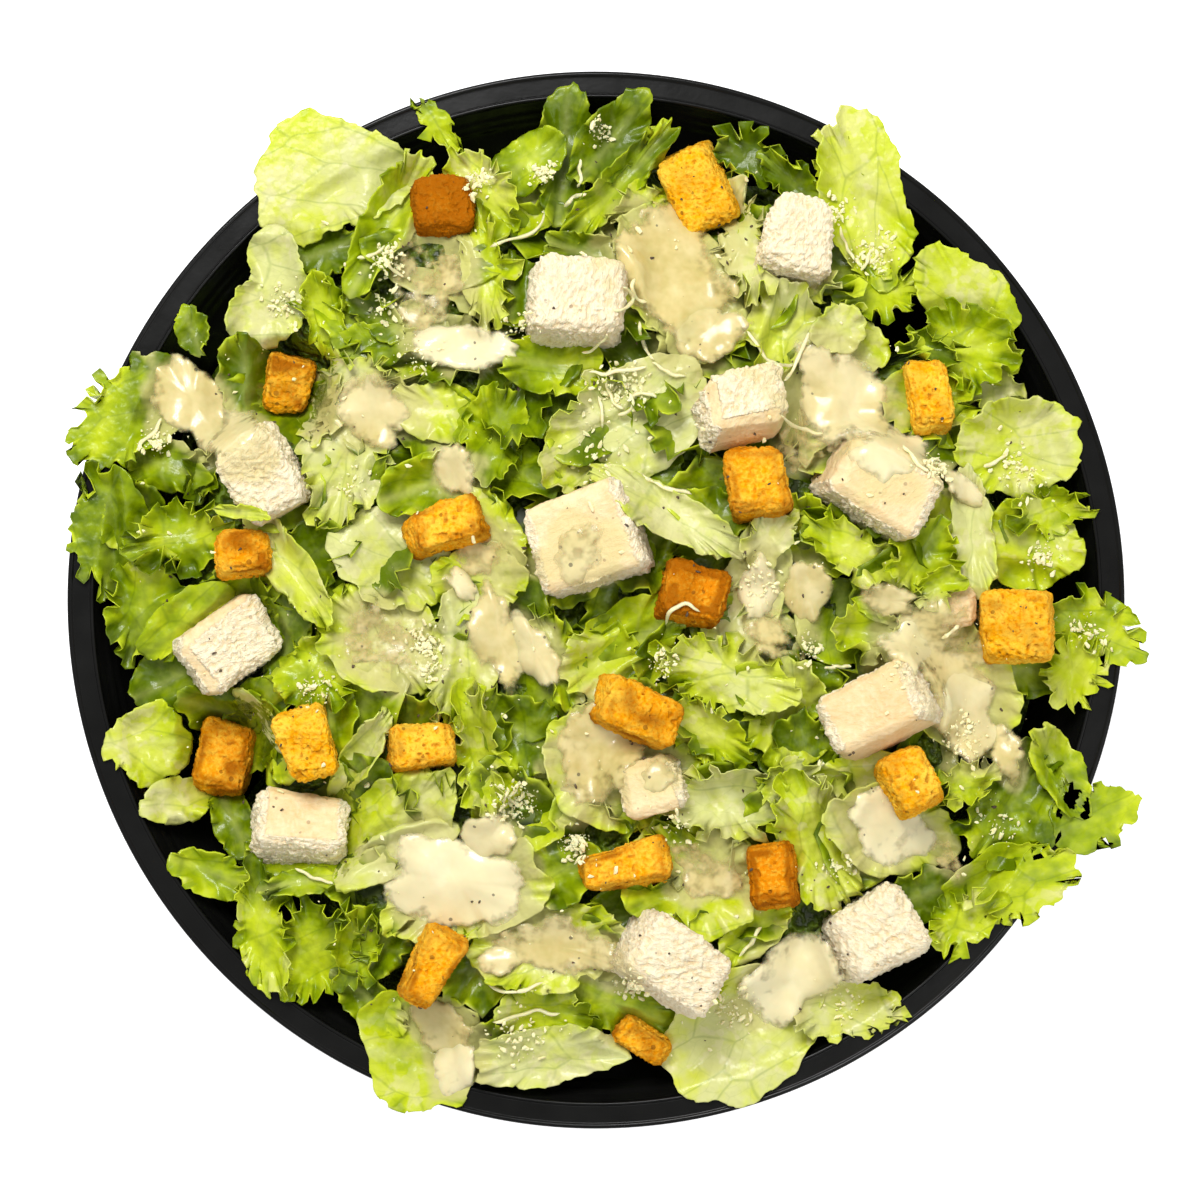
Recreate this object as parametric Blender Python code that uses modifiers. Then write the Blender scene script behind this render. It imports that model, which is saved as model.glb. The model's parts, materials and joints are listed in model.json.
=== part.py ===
"""Chicken caesar salad in its round take-away bowl.

The bowl is one turned shell. The lettuce is one heap that fills the bowl, stands above it as an uneven
dome, and throws leaf lobes over the rim. Chicken dice and croutons sit in pockets of the heap.
Sizes are in millimetres; MM turns them into metres where a mesh is made. The origin is the centre of
the bowl's flat base, with +Z up.
"""

import math

import bmesh
import bpy
import numpy as np
from mathutils import Euler, Matrix, Vector

MM = 0.001

# Bowl
RIM_RADIUS = 100.0
RIM_HEIGHT = 48.0
BASE_RADIUS = 60.0
WALL = 1.2
FLOOR = 1.4
SKIRT_DROP = 3.8
STEP_COUNT = 3
STEP_RISE = 2.3
STEP_DEPTH = 0.7
BOWL_SEGMENTS = 72

# Heap of leaves
CLEARANCE = 0.5
WALL_GAP = 1.7
CROWN_HEIGHT = 62.0
SHOULDER_HEIGHT = 50.0
SHOULDER_POWER = 2.6
SHOULDER_START = 0.62
BRIM_LEVEL = 45.0
LEAF_EDGE = 1.6
HEAP_SEGMENTS = 72
WALL_RINGS = 5
TOP_RINGS = 11
LUMP_HEIGHT = 1.8

# How the heap's edge rises to a lobe: the lift starts this many half widths out and soon reaches its full
# level, and only then does the edge leave the wall.
LIFT_SPREAD = 2.0
LIFT_GAIN = 1.9
LOBE_SPREAD = 1.2
LOBE_LEVEL = RIM_HEIGHT + 5.0
RIM_PASS = RIM_HEIGHT + 2.6
PASS_BAND = 2.0
LOBE_START = RIM_RADIUS - 6.0

# Leaf lobes that reach over the rim: (angle in degrees, half width in degrees, reach from the axis)
LOBES = (
    (58.0, 8.0, 102.5),
    (92.0, 7.0, 96.5),
    (123.0, 13.0, 106.5),
    (160.0, 9.0, 107.0),
    (172.0, 9.0, 101.0),
    (249.0, 12.0, 100.5),
    (287.0, 8.0, 98.0),
    (306.0, 6.0, 98.0),
    (332.0, 12.0, 104.0),
    (356.0, 10.0, 103.0),
    (21.0, 10.0, 97.0),
)
# Hollows where the leaves stop short of the wall: (angle in degrees, half width in degrees, depth)
HOLLOWS = (
    (40.0, 14.0, 14.0),
    (70.0, 9.0, 14.0),
    (104.0, 10.0, 20.0),
    (144.0, 9.0, 15.0),
    (188.0, 8.0, 12.0),
    (205.0, 11.0, 15.0),
    (224.0, 12.0, 15.0),
    (268.0, 12.0, 17.0),
    (316.0, 9.0, 16.0),
    (343.0, 7.0, 13.0),
)

# Chicken dice: (x, y, lift above the leaves, width, depth, height, yaw, pitch, roll, pinch, lean)
# pinch narrows the block towards its own +X end, or its -X end where negative. lean slides its top along +X.
CHICKEN = (
    (-3.2, 55.6, 3.0, 15.4, 13.6, 14.0, -5, -8, 3, 0.06, 0.02),
    (37.6, 67.6, 1.0, 13.6, 13.4, 12.0, 78, 5, 8, 0.34, 0.00),
    (26.6, 35.4, 3.5, 13.8, 10.2, 12.0, 14, -20, 5, -0.06, 0.16),
    (-62.2, 23.4, 1.0, 14.8, 11.6, 12.5, -58, 6, 6, 0.10, 0.00),
    (-2.0, 11.0, 3.5, 18.2, 17.0, 15.5, 20, -6, -8, -0.12, 0.04),
    (52.4, 20.8, 2.5, 18.4, 12.8, 14.0, -31, -8, 6, -0.14, 0.02),
    (-69.0, -8.2, 2.5, 16.4, 12.8, 13.0, 35, 6, 10, -0.12, 0.04),
    (52.2, -20.6, 3.5, 17.6, 12.2, 14.5, 27, -12, -5, -0.08, -0.04),
    (10.6, -34.8, -2.0, 10.6, 9.4, 9.5, 16, -6, -4, 0.05, 0.00),
    (-55.6, -43.0, 1.0, 16.2, 10.4, 12.5, -6, -24, 3, 0.03, 0.00),
    (14.4, -67.4, 2.5, 17.4, 12.8, 14.0, -33, -10, 8, 0.10, 0.04),
    (52.4, -62.6, 1.5, 15.0, 13.8, 14.5, 28, -6, 6, -0.16, 0.00),
    (66.6, -1.4, -1.5, 7.4, 7.2, 8.5, 8, 6, 6, 0.08, 0.00),
)
# Croutons: the same fields
CROUTONS = (
    (-29.0, 73.8, -0.5, 10.6, 9.8, 10.5, 3, -8, 4, 0.06, 0.00),
    (19.2, 77.6, 1.5, 14.6, 10.6, 12.0, -66, 8, 6, -0.12, 0.03),
    (-58.8, 41.2, 0.5, 8.2, 10.0, 10.0, -10, 4, 6, 0.08, 0.00),
    (-27.8, 13.6, 2.5, 12.8, 8.8, 9.5, 18, -10, 4, -0.24, 0.02),
    (-65.6, 8.6, 0.5, 9.8, 7.8, 9.0, 5, -6, 8, 0.05, 0.00),
    (29.4, 21.8, 2.0, 10.2, 11.6, 11.0, 9, -6, -4, 0.04, 0.03),
    (62.4, 37.8, 0.5, 7.0, 13.0, 10.0, 8, -12, 3, 0.08, 0.02),
    (18.0, 1.2, 2.0, 11.4, 11.0, 10.5, -14, -8, 5, 0.14, 0.00),
    (78.4, -4.8, 2.0, 12.2, 12.6, 11.5, 5, -6, -8, -0.04, 0.04),
    (7.6, -20.8, 5.5, 14.4, 8.6, 9.0, -24, -10, 6, 0.08, 0.04),
    (-71.2, -30.4, 3.0, 9.2, 13.0, 11.0, -10, -10, -4, 0.05, 0.02),
    (-53.6, -26.8, 2.5, 12.2, 9.4, 10.0, -72, 6, 6, 0.16, 0.00),
    (-32.4, -27.2, 0.5, 11.4, 7.8, 8.5, 4, -10, 4, 0.05, 0.03),
    (58.2, -33.4, 2.0, 8.8, 10.8, 10.5, 30, -8, 5, 0.05, 0.00),
    (5.2, -49.4, 2.0, 15.2, 8.8, 9.0, 14, -8, 5, -0.40, 0.00),
    (32.8, -51.0, 0.5, 8.2, 11.2, 10.0, 5, -6, -6, 0.06, 0.02),
    (-30.8, -68.6, 1.5, 13.6, 8.0, 10.0, 62, 6, 4, -0.30, 0.00),
    (9.0, -83.2, -1.0, 10.2, 5.8, 8.0, -33, 6, 4, 0.12, 0.00),
)
CHICKEN_STRAY = 0.045
CROUTON_STRAY = 0.060
CHICKEN_BEVEL = 1.3
CROUTON_BEVEL = 0.9
SPREAD = 1.07
FLAT_ENOUGH = math.radians(24)

BLACK_PLASTIC = (0.012, 0.012, 0.013)
LEAF_GREEN = (0.36, 0.52, 0.06)
CHICKEN_CREAM = (0.82, 0.70, 0.52)
CROUTON_GOLD = (0.78, 0.34, 0.05)


def material(name, colour, roughness):
    """A Principled material of one colour."""
    made = bpy.data.materials.new(name)
    made.use_nodes = True
    shader = made.node_tree.nodes["Principled BSDF"]
    shader.inputs["Base Color"].default_value = (*colour, 1.0)
    shader.inputs["Roughness"].default_value = roughness
    shader.inputs["Metallic"].default_value = 0.0
    return made


def collection(name):
    made = bpy.data.collections.new(name)
    bpy.context.scene.collection.children.link(made)
    return made


def add_object(name, mesh, home, finish=None):
    made = bpy.data.objects.new(name, mesh)
    home.objects.link(made)
    if finish:
        mesh.materials.append(finish)
    return made


def inner_wall():
    """The bowl's inner line as (radius, height) pairs, from the edge of the floor up to the rim's inner bead."""
    steps_radius = RIM_RADIUS - 9.0
    steps_height = RIM_HEIGHT - 3.1 - STEP_COUNT * STEP_RISE
    line = [(BASE_RADIUS - 2.0, FLOOR), (BASE_RADIUS + 3.5, FLOOR + 1.3), (BASE_RADIUS + 7.5, FLOOR + 4.8)]
    line.append((steps_radius, steps_height))
    for step in range(STEP_COUNT):
        radius = steps_radius + (step + 1) * STEP_DEPTH + step * 0.4
        height = steps_height + step * STEP_RISE
        line.append((radius, height + 0.3))
        line.append((radius + 0.4, height + STEP_RISE))
    line.append((RIM_RADIUS - 5.1, RIM_HEIGHT - 0.4))
    return line


def bowl_profile():
    """The whole half section: up the inside from the centre, over the rim, down the outside and back under."""
    inner = [(0.0, FLOOR)] + inner_wall()
    inner_bead = [(RIM_RADIUS - 4.6, RIM_HEIGHT + 0.1), (RIM_RADIUS - 4.1, RIM_HEIGHT - 0.4)]
    band = [(RIM_RADIUS - 1.9, RIM_HEIGHT - 0.4)]
    bead_centre, bead_radius = (RIM_RADIUS - 0.9, RIM_HEIGHT - 0.2), 0.9
    outer_bead = [
        (bead_centre[0] - bead_radius * math.cos(turn), bead_centre[1] + bead_radius * math.sin(turn))
        for turn in np.radians((20, 65, 110, 145, 175))
    ]
    skirt_bottom = RIM_HEIGHT - SKIRT_DROP
    skirt = [(RIM_RADIUS, skirt_bottom), (RIM_RADIUS - WALL, skirt_bottom), (RIM_RADIUS - WALL, RIM_HEIGHT - 1.7)]
    neck = [(RIM_RADIUS - 3.7, RIM_HEIGHT - 1.7), (RIM_RADIUS - 4.4, RIM_HEIGHT - 5.2)]
    outside = [(RIM_RADIUS - 7.4, RIM_HEIGHT - 11.4), (BASE_RADIUS + 8.9, FLOOR + 3.9)]
    foot = [(BASE_RADIUS + 5.0, 0.7), (BASE_RADIUS + 1.5, 0.0), (0.0, 0.0)]
    return inner + inner_bead + band + outer_bead + skirt + neck + outside + foot


def turned(name, profile, segments, home, finish):
    """A half section in the XZ plane, turned once round Z."""
    mesh = bpy.data.meshes.new(name)
    points = [(radius * MM, 0.0, height * MM) for radius, height in profile]
    edges = [(i, i + 1) for i in range(len(points) - 1)]
    mesh.from_pydata(points, edges, [])
    made = add_object(name, mesh, home, finish)
    screw = made.modifiers.new("Turn", "SCREW")
    screw.axis = "Z"
    screw.steps = segments
    screw.render_steps = segments
    screw.use_merge_vertices = True
    screw.merge_threshold = 0.00005
    screw.use_smooth_shade = True
    return made


def bump(angle, centre, half_width):
    """1 at centre, falling smoothly to 0 at half_width either side. Angles are in degrees."""
    away = (angle - centre + 180.0) % 360.0 - 180.0
    share = min(abs(away) / half_width, 1.0)
    return (1.0 - share**2) ** 2


def brim_level(angle):
    """Height of the heap's edge at an angle: raised to clear the rim at a lobe, sunk at a hollow."""
    lift = max(bump(angle, centre, width * LIFT_SPREAD) for centre, width, _ in LOBES)
    drop = max(depth * bump(angle, centre, width) for centre, width, depth in HOLLOWS)
    return BRIM_LEVEL + min(LIFT_GAIN * lift, 1.0) * (LOBE_LEVEL - BRIM_LEVEL) - drop


def wall_radius(height):
    """The bowl's inner radius at a height above the floor."""
    line = inner_wall()
    return float(np.interp(height, [z for _, z in line], [r for r, _ in line]))


def brim_wall(level):
    """Radius of the leaves that stop against the wall at this height, kept clear of the rim's inner bead."""
    return wall_radius(min(level, RIM_HEIGHT - 1.0)) - WALL_GAP


def heap_edge(angle):
    """(radius, height) of the outermost leaf edge. A lobe leaves the wall only where the edges on both
    sides of it are already above the rim."""
    level = brim_level(angle)
    step = 360.0 / HEAP_SEGMENTS
    lowest = min(level, brim_level(angle - step), brim_level(angle + step))
    over = min(max((lowest - RIM_PASS) / PASS_BAND, 0.0), 1.0)
    shares = [(far - LOBE_START) * bump(angle, centre, width * LOBE_SPREAD) for centre, width, far in LOBES]
    reach = LOBE_START + max(shares)
    inside = brim_wall(level)
    return inside + over * max(reach - inside, 0.0), level


def lumps(x, y):
    """The uneven rise and fall of packed leaves: three crossing waves of 40, 27 and 18 mm."""
    long_wave = math.sin(x / 6.4 + 0.7) * math.cos(y / 6.9 - 0.4)
    middle_wave = math.sin((x + y) / 4.3 + 1.1)
    short_wave = math.cos((x - 1.7 * y) / 5.6)
    return LUMP_HEIGHT * (long_wave + 0.5 * middle_wave + 0.4 * short_wave)


def heap_height(x, y):
    """Height of the heap's top surface at a place in plan."""
    angle = math.degrees(math.atan2(y, x))
    radius, level = heap_edge(angle)
    share = min(math.hypot(x, y) / radius, 1.0)
    dome = SHOULDER_HEIGHT + (CROWN_HEIGHT - SHOULDER_HEIGHT) * (1.0 - share**SHOULDER_POWER)
    near_edge = max((share - SHOULDER_START) / (1.0 - SHOULDER_START), 0.0)
    blend = near_edge**2 * (3.0 - 2.0 * near_edge)
    return dome + blend * (level - SHOULDER_HEIGHT) + lumps(x, y) * (1.0 - share**4)


def heap_section(angle):
    """One side of the heap's section at an angle, from under its centre, round the edge, to its crown."""
    radius, level = heap_edge(angle)
    floor = FLOOR + CLEARANCE
    wall_top = min(level - LEAF_EDGE, RIM_HEIGHT - 1.5)
    section = [(0.0, floor), (BASE_RADIUS / 2.0, floor)]
    for height in np.linspace(floor, wall_top, WALL_RINGS):
        section.append((wall_radius(height) - WALL_GAP, height))
    section.append((min(radius, brim_wall(level)), level - LEAF_EDGE))
    section.append((radius - CLEARANCE, level - LEAF_EDGE * 0.7))
    turn = math.radians(angle)
    for share in np.linspace(1.0, 0.0, TOP_RINGS):
        r = radius * share
        section.append((r, heap_height(r * math.cos(turn), r * math.sin(turn))))
    return section


def heap_mesh():
    """The heap's sections set round the axis and joined ring by ring, with one point at each pole."""
    made = bmesh.new()
    sections = [heap_section(360.0 * i / HEAP_SEGMENTS) for i in range(HEAP_SEGMENTS)]
    bottom = made.verts.new((0.0, 0.0, sections[0][0][1] * MM))
    top = made.verts.new((0.0, 0.0, sections[0][-1][1] * MM))
    rings = []
    for ring in range(1, len(sections[0]) - 1):
        row = []
        for i, section in enumerate(sections):
            turn = 2.0 * math.pi * i / HEAP_SEGMENTS
            radius, height = section[ring]
            row.append(made.verts.new((radius * math.cos(turn) * MM, radius * math.sin(turn) * MM, height * MM)))
        rings.append(row)
    for i in range(HEAP_SEGMENTS):
        j = (i + 1) % HEAP_SEGMENTS
        made.faces.new((bottom, rings[0][j], rings[0][i]))
        made.faces.new((top, rings[-1][i], rings[-1][j]))
        for low, high in zip(rings, rings[1:]):
            made.faces.new((low[i], low[j], high[j], high[i]))
    bmesh.ops.triangulate(made, faces=made.faces)
    bmesh.ops.recalc_face_normals(made, faces=made.faces)
    mesh = bpy.data.meshes.new("lettuce_heap")
    made.to_mesh(mesh)
    made.free()
    return mesh


def chunk_hull(size, pinch, lean, stray, seed):
    """A cube primitive of this size, narrowed to one end, wider at its foot, its corners strayed by a share of
    its size, and closed again as a convex hull."""
    random = np.random.default_rng(seed)
    made = bmesh.new()
    bmesh.ops.create_cube(made, size=1.0)
    for corner in made.verts:
        x, y, z = corner.co
        narrow = 1.0 - abs(pinch) * (0.5 + math.copysign(x, x * pinch))
        foot = 1.0 + (SPREAD - 1.0) * (0.5 - z) * 2.0
        moved = (x * foot + lean * z * size[2] / size[0], y * foot * narrow, z * (0.5 + 0.5 * narrow))
        strays = random.uniform(-stray, stray, 3)
        corner.co = Vector([(along + off) * side * MM for along, off, side in zip(moved, strays, size)])
    bmesh.ops.delete(made, geom=made.faces[:] + made.edges[:], context="EDGES_FACES")
    hull = bmesh.ops.convex_hull(made, input=made.verts)
    loose = [v for v in hull["geom_interior"] + hull["geom_unused"] if isinstance(v, bmesh.types.BMVert)]
    bmesh.ops.delete(made, geom=loose, context="VERTS")
    bmesh.ops.recalc_face_normals(made, faces=made.faces)
    return made


def face_distance(hull):
    """The nearest distance from the origin to a face's plane."""
    return min(abs(face.normal.dot(face.verts[0].co)) for face in hull.faces)


def chunk(name, row, stray, seed, bevel, home, finish, cutters):
    """One dice or crouton, set in the heap, and the slightly larger cutter that makes its pocket."""
    x, y, lift, width, depth, height, yaw, pitch, roll, pinch, lean = row
    hull = chunk_hull((width, depth, height), pinch, lean, stray, seed)
    spot = Vector((x, y, heap_height(x, y) + lift)) * MM
    turn = Euler([math.radians(a) for a in (pitch, roll, yaw)], "XYZ")
    place = Matrix.LocRotScale(spot, turn, None)
    mesh = bpy.data.meshes.new(name)
    hull.to_mesh(mesh)
    made = add_object(name, mesh, home, finish)
    made.matrix_world = place
    soften = made.modifiers.new("Worn edges", "BEVEL")
    soften.width = bevel * MM
    soften.segments = 1
    soften.limit_method = "ANGLE"
    soften.angle_limit = FLAT_ENOUGH
    larger = 1.0 + CLEARANCE * MM / face_distance(hull)
    bmesh.ops.scale(hull, vec=(larger, larger, larger), verts=hull.verts)
    cutter_mesh = bpy.data.meshes.new("cut_" + name)
    hull.to_mesh(cutter_mesh)
    hull.free()
    cutter = add_object("cut_" + name, cutter_mesh, cutters)
    cutter.matrix_world = place
    cutter.hide_render = True
    cutter.display_type = "WIRE"
    return cutter


def main():
    for old in list(bpy.data.objects):
        bpy.data.objects.remove(old)
    salad = collection("chicken_caesar_salad")
    cutters = collection("cutters")
    plastic = material("black_plastic", BLACK_PLASTIC, 0.25)
    leaf = material("lettuce", LEAF_GREEN, 0.45)
    meat = material("chicken", CHICKEN_CREAM, 0.6)
    crust = material("crouton", CROUTON_GOLD, 0.75)

    turned("bowl", bowl_profile(), BOWL_SEGMENTS, salad, plastic)
    heap = add_object("lettuce_heap", heap_mesh(), salad, leaf)
    pockets = [
        chunk(f"chicken_{i:02d}", row, CHICKEN_STRAY, 10 + i, CHICKEN_BEVEL, salad, meat, cutters)
        for i, row in enumerate(CHICKEN, 1)
    ]
    pockets += [
        chunk(f"crouton_{i:02d}", row, CROUTON_STRAY, 40 + i, CROUTON_BEVEL, salad, crust, cutters)
        for i, row in enumerate(CROUTONS, 1)
    ]
    for cutter in pockets:
        pocket = heap.modifiers.new(cutter.name, "BOOLEAN")
        pocket.operation = "DIFFERENCE"
        pocket.object = cutter


main()
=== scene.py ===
"""Looks of a chicken caesar salad in its round takeaway bowl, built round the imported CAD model.

Lengths in this file are millimetres, and MM turns them into the frame's metres where a mesh is made. Places
are (x, y) from the bowl's middle, +X to the right and +Y to the back, and angles are in degrees from +X.
"""

import json
import math

import bmesh
import bpy
import numpy as np
from bpy.props import FloatProperty, FloatVectorProperty, IntProperty, PointerProperty
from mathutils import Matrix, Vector

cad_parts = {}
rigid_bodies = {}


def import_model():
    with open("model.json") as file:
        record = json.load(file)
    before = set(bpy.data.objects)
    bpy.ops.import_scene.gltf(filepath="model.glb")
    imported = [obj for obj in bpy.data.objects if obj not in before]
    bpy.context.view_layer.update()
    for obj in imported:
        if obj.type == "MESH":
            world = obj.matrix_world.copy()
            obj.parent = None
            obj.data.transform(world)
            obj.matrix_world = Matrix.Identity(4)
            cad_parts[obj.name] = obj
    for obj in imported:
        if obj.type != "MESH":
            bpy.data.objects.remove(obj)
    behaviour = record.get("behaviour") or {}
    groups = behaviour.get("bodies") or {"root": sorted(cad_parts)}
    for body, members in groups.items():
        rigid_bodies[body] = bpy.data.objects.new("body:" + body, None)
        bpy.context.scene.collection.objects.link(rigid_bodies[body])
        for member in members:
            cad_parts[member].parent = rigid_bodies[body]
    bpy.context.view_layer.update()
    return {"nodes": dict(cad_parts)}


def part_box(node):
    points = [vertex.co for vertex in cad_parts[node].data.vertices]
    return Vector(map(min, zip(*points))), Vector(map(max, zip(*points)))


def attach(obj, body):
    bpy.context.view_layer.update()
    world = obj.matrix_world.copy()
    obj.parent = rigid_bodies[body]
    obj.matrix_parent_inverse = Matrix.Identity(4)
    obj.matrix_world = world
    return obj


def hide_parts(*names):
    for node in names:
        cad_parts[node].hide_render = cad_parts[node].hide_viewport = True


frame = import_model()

bl_info = {
    "name": "Caesar Salad Bowl",
    "version": (1, 0, 0),
    "blender": (4, 5, 0),
    "location": "View3D > Sidebar > Salad",
    "description": "Leaves, chicken, croutons, dressing and cheese in a round bowl",
    "category": "Add Mesh",
}

MM = 0.001
BODY = "root"
CHICKEN = sorted(name for name in frame["nodes"] if name.startswith("chicken"))
CROUTONS = sorted(name for name in frame["nodes"] if name.startswith("crouton"))

# The slot and the node of the leaves and of all that lies on them, and how the names of the food pieces begin
HEAP = ("lettuce", "lettuce_heap")
ALL_FOOD = ("lettuce", "breast", "toast", "dressing")

# The bowl's rim, read from its CAD solid; the rest of the bowl follows from it
BOWL_LOW, BOWL_HIGH = (np.array(corner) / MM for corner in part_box("bowl"))
BEAD_RISE = 0.65
RIM_RADIUS = (BOWL_HIGH[1] - BOWL_LOW[1]) / 2.0
RIM_HEIGHT = BOWL_HIGH[2] - BEAD_RISE

# The bowl's wall, and the stacking lugs inside it: how many, the first one's angle, their half width in
# degrees, their level as a share of the rim's height, their half height, and how far they stand in
WALL = 1.2
LUGS = 8
LUG_ANGLE = 9.5
LUG_WIDTH = 1.1
LUG_LEVEL = 0.70
LUG_HEIGHT = 5.0
LUG_DEPTH = 0.7

# The CAD heap's upper points lie above this height, and its reach is read in this many sectors and is at
# least so far
UPPER_HEAP = 36.0
SECTORS = 72
LEAST_REACH = 70.0

# The dome that the top leaves follow: its rise, the power of its curve and its height at the rim. The heap's
# core ends so far below it, and keeps this gap below the room for leaves beside a chunk
DOME_RISE = 12.5
DOME_POWER = 2.6
DOME_EDGE = RIM_HEIGHT + 1.8
CORE_DEPTH = 6.5
CORE_GAP = 4.0

# Half the width of the square that the height maps cover, and the width of their cells for leaves, for pools,
# and for crumbs and pepper
MAP_HALF = 114.0
MAP_CELL = 1.0
POOL_CELL = 0.8
CRUMB_CELL = 0.6

# The width of a leaf's grid where it shows and where it doesn't, and the most faces of one piece of leaves
FINE = 0.67
COARSE = 1.7
MOST_FACES = 180000

# How wide a band of the margin rolls up, and the gaps that a leaf keeps above its bed, the rim and the wall
ROLL_WIDTH = 5.0
BED_GAP = 0.7
RIM_GAP = 1.3
WALL_GAP = 0.8

# How high leaves may stand above the dome, how far up a chunk the leaves beside it may reach, and by what
# share the outermost leaves and pools lie farther out than their places
TOP_ROOM = 9.0
SHOULDER = 0.42
EDGE_SPREAD = 0.020

# The turn from each lower leaf to the next, in radians
GOLDEN_TURN = 2.39996

# The cuts of the ball behind each chunk and crouton, and how sharp their edges are
BALL_CUTS = 6
CROUTON_SHARPNESS = 60.0
CHICKEN_SHARPNESS = 75.0

# How far a pool may climb above its middle level, and the waves of its outline as (size, number)
POOL_CLIMB = 4.0
POOL_WAVES = ((0.30, 5), (0.12, 11), (0.025, 23))

# Where the random numbers of each group of pieces start
CHICKEN_SEED, CROUTON_SEED, FILLER_SEED, LEAF_SEED = 300, 500, 4000, 7000
POOL_SEED, SHRED_SEED, CRUMB_SEED, PEPPER_SEED = 900, 1300, 21, 22

# The camera: its height above the rim, how far it stands to the right, the width it sees, and its sensor
CAMERA_RISE = 700.0
CAMERA_SIDE = 0.76
VIEW_WIDTH = 227.0
SENSOR = 36.0

# The light of the room and of the floor, and the lamps as (name, place, width, power), in metres, with the
# place that they shine at
ROOM_LIGHT = 0.48
FLOOR_LIGHT = 0.65
LAMP_AIM = (0.0, 0.0, 0.05)
LAMPS = (("key_light", (-0.16, 0.44, 0.85), 0.40, 8.1), ("fill_light", (0.45, -0.35, 0.90), 0.7, 2.2))


# ---------------------------------------------------------------- numbers and noise


def mix(a, b, share):
    return a + (b - a) * share


def smooth(low, high, value):
    """0 below low, 1 above high, and an S-shaped rise between them."""
    share = np.clip((value - low) / (high - low), 0.0, 1.0)
    return share * share * (3.0 - 2.0 * share)


def scatter(cells, seed):
    """A number from -1 to 1 for each whole-number cell (N, 3): the digits are multiplied by large primes,
    mixed by shifts, and 16 bits are kept."""
    n = (cells[:, 0] * 73856093) ^ (cells[:, 1] * 19349663) ^ (cells[:, 2] * 83492791) ^ (seed * 15485863)
    n = ((n ^ (n >> 13)) * 1274126177) & 0xFFFFFFFF
    n = ((n ^ (n >> 15)) * 668265263) & 0xFFFFFFFF
    return ((n >> 8) & 0xFFFF) / 32767.5 - 1.0


def noise(points, size, seed):
    """Smooth value noise: the eight corner values of the cell that holds a point, blended by S-curves.
    size is the width of a cell."""
    scaled = np.asarray(points, float) / size
    cell = np.floor(scaled).astype(np.int64)
    part = scaled - cell
    part = part * part * (3.0 - 2.0 * part)
    total = np.zeros(len(scaled))
    for corner in range(8):
        step = np.array([corner & 1, corner >> 1 & 1, corner >> 2 & 1])
        weight = np.where(step == 1, part, 1.0 - part).prod(axis=1)
        total += weight * scatter(cell + step, seed)
    return total


def layered(points, size, seed):
    """Noise of this cell size plus two finer layers, each half as wide and half as strong."""
    return sum(noise(points, size / 2**i, seed + 17 * i) / 2**i for i in range(3))


def ring_noise(angle, waves, seed):
    """Noise round a circle that meets itself, with about this many waves."""
    reach = waves / math.pi
    return noise(np.stack([np.cos(angle) * reach, np.sin(angle) * reach, np.zeros_like(angle)], 1), 1.0, seed)


def spoke_angles(count):
    """The angles of this many spokes, evenly round a circle."""
    return np.arange(count) * 2 * math.pi / count


def turned(x, y, angle):
    """The places turned about the middle by an angle."""
    return x * np.cos(angle) - y * np.sin(angle), x * np.sin(angle) + y * np.cos(angle)


# ---------------------------------------------------------------- height maps


class HeightMap:
    """Heights on a square grid round the bowl's middle, with a value every `cell` millimetres."""

    def __init__(self, cell, heights=None):
        self.cell = cell
        self.side = int(2 * MAP_HALF / cell) + 1
        line = np.linspace(-MAP_HALF, MAP_HALF, self.side)
        self.x, self.y = np.meshgrid(line, line, indexing="ij")
        self.z = np.zeros((self.side, self.side)) if heights is None else heights

    def index(self, x, y):
        spot = (np.stack([x, y]) + MAP_HALF) / self.cell
        return np.clip(spot, 0.0, self.side - 1.001)

    def raise_to(self, x, y, z):
        """Each cell is raised to the highest of the points that lie in it."""
        i, j = np.rint(self.index(x, y)).astype(int)
        np.maximum.at(self.z, (i, j), z)

    def at(self, x, y):
        """The height at each point, blended between the four cells round it."""
        spot = self.index(x, y)
        low = np.floor(spot).astype(int)
        part = spot - low
        i, j = low
        near = mix(self.z[i, j], self.z[i + 1, j], part[0])
        far = mix(self.z[i, j + 1], self.z[i + 1, j + 1], part[0])
        return mix(near, far, part[1])

    def swollen(self, reach):
        """A copy where each cell takes the highest value within reach."""
        z = self.z
        for _ in range(max(1, round(reach / self.cell))):
            padded = np.pad(z, 1, mode="edge")
            z = np.maximum.reduce([padded[1:-1, 1:-1], padded[:-2, 1:-1], padded[2:, 1:-1],
                                   padded[1:-1, :-2], padded[1:-1, 2:]])
        return HeightMap(self.cell, z)

    def blurred(self, spread):
        """A copy smoothed by a bell curve of this spread, along one axis and then the other."""
        reach = int(math.ceil(2.5 * spread / self.cell))
        steps = np.arange(-reach, reach + 1)
        weights = np.exp(-0.5 * (steps * self.cell / spread) ** 2)
        weights /= weights.sum()
        z = self.z
        for axis in (0, 1):
            width = [(reach, reach) if axis == k else (0, 0) for k in (0, 1)]
            padded = np.pad(z, width, mode="edge")
            rows = (np.take(padded, range(step, step + self.side), axis=axis) for step in range(len(steps)))
            z = sum(weight * row for weight, row in zip(weights, rows))
        return HeightMap(self.cell, z)


def dome(x, y):
    """Height of the heap's general form: it rises from the rim to the middle by 1 - share ** power, where the
    share is the radius against the rim's, and is level beyond the rim."""
    share = np.clip(np.hypot(x, y) / (RIM_RADIUS - 3.0), 0.0, 1.0)
    return DOME_EDGE + DOME_RISE * (1.0 - share**DOME_POWER)


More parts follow.
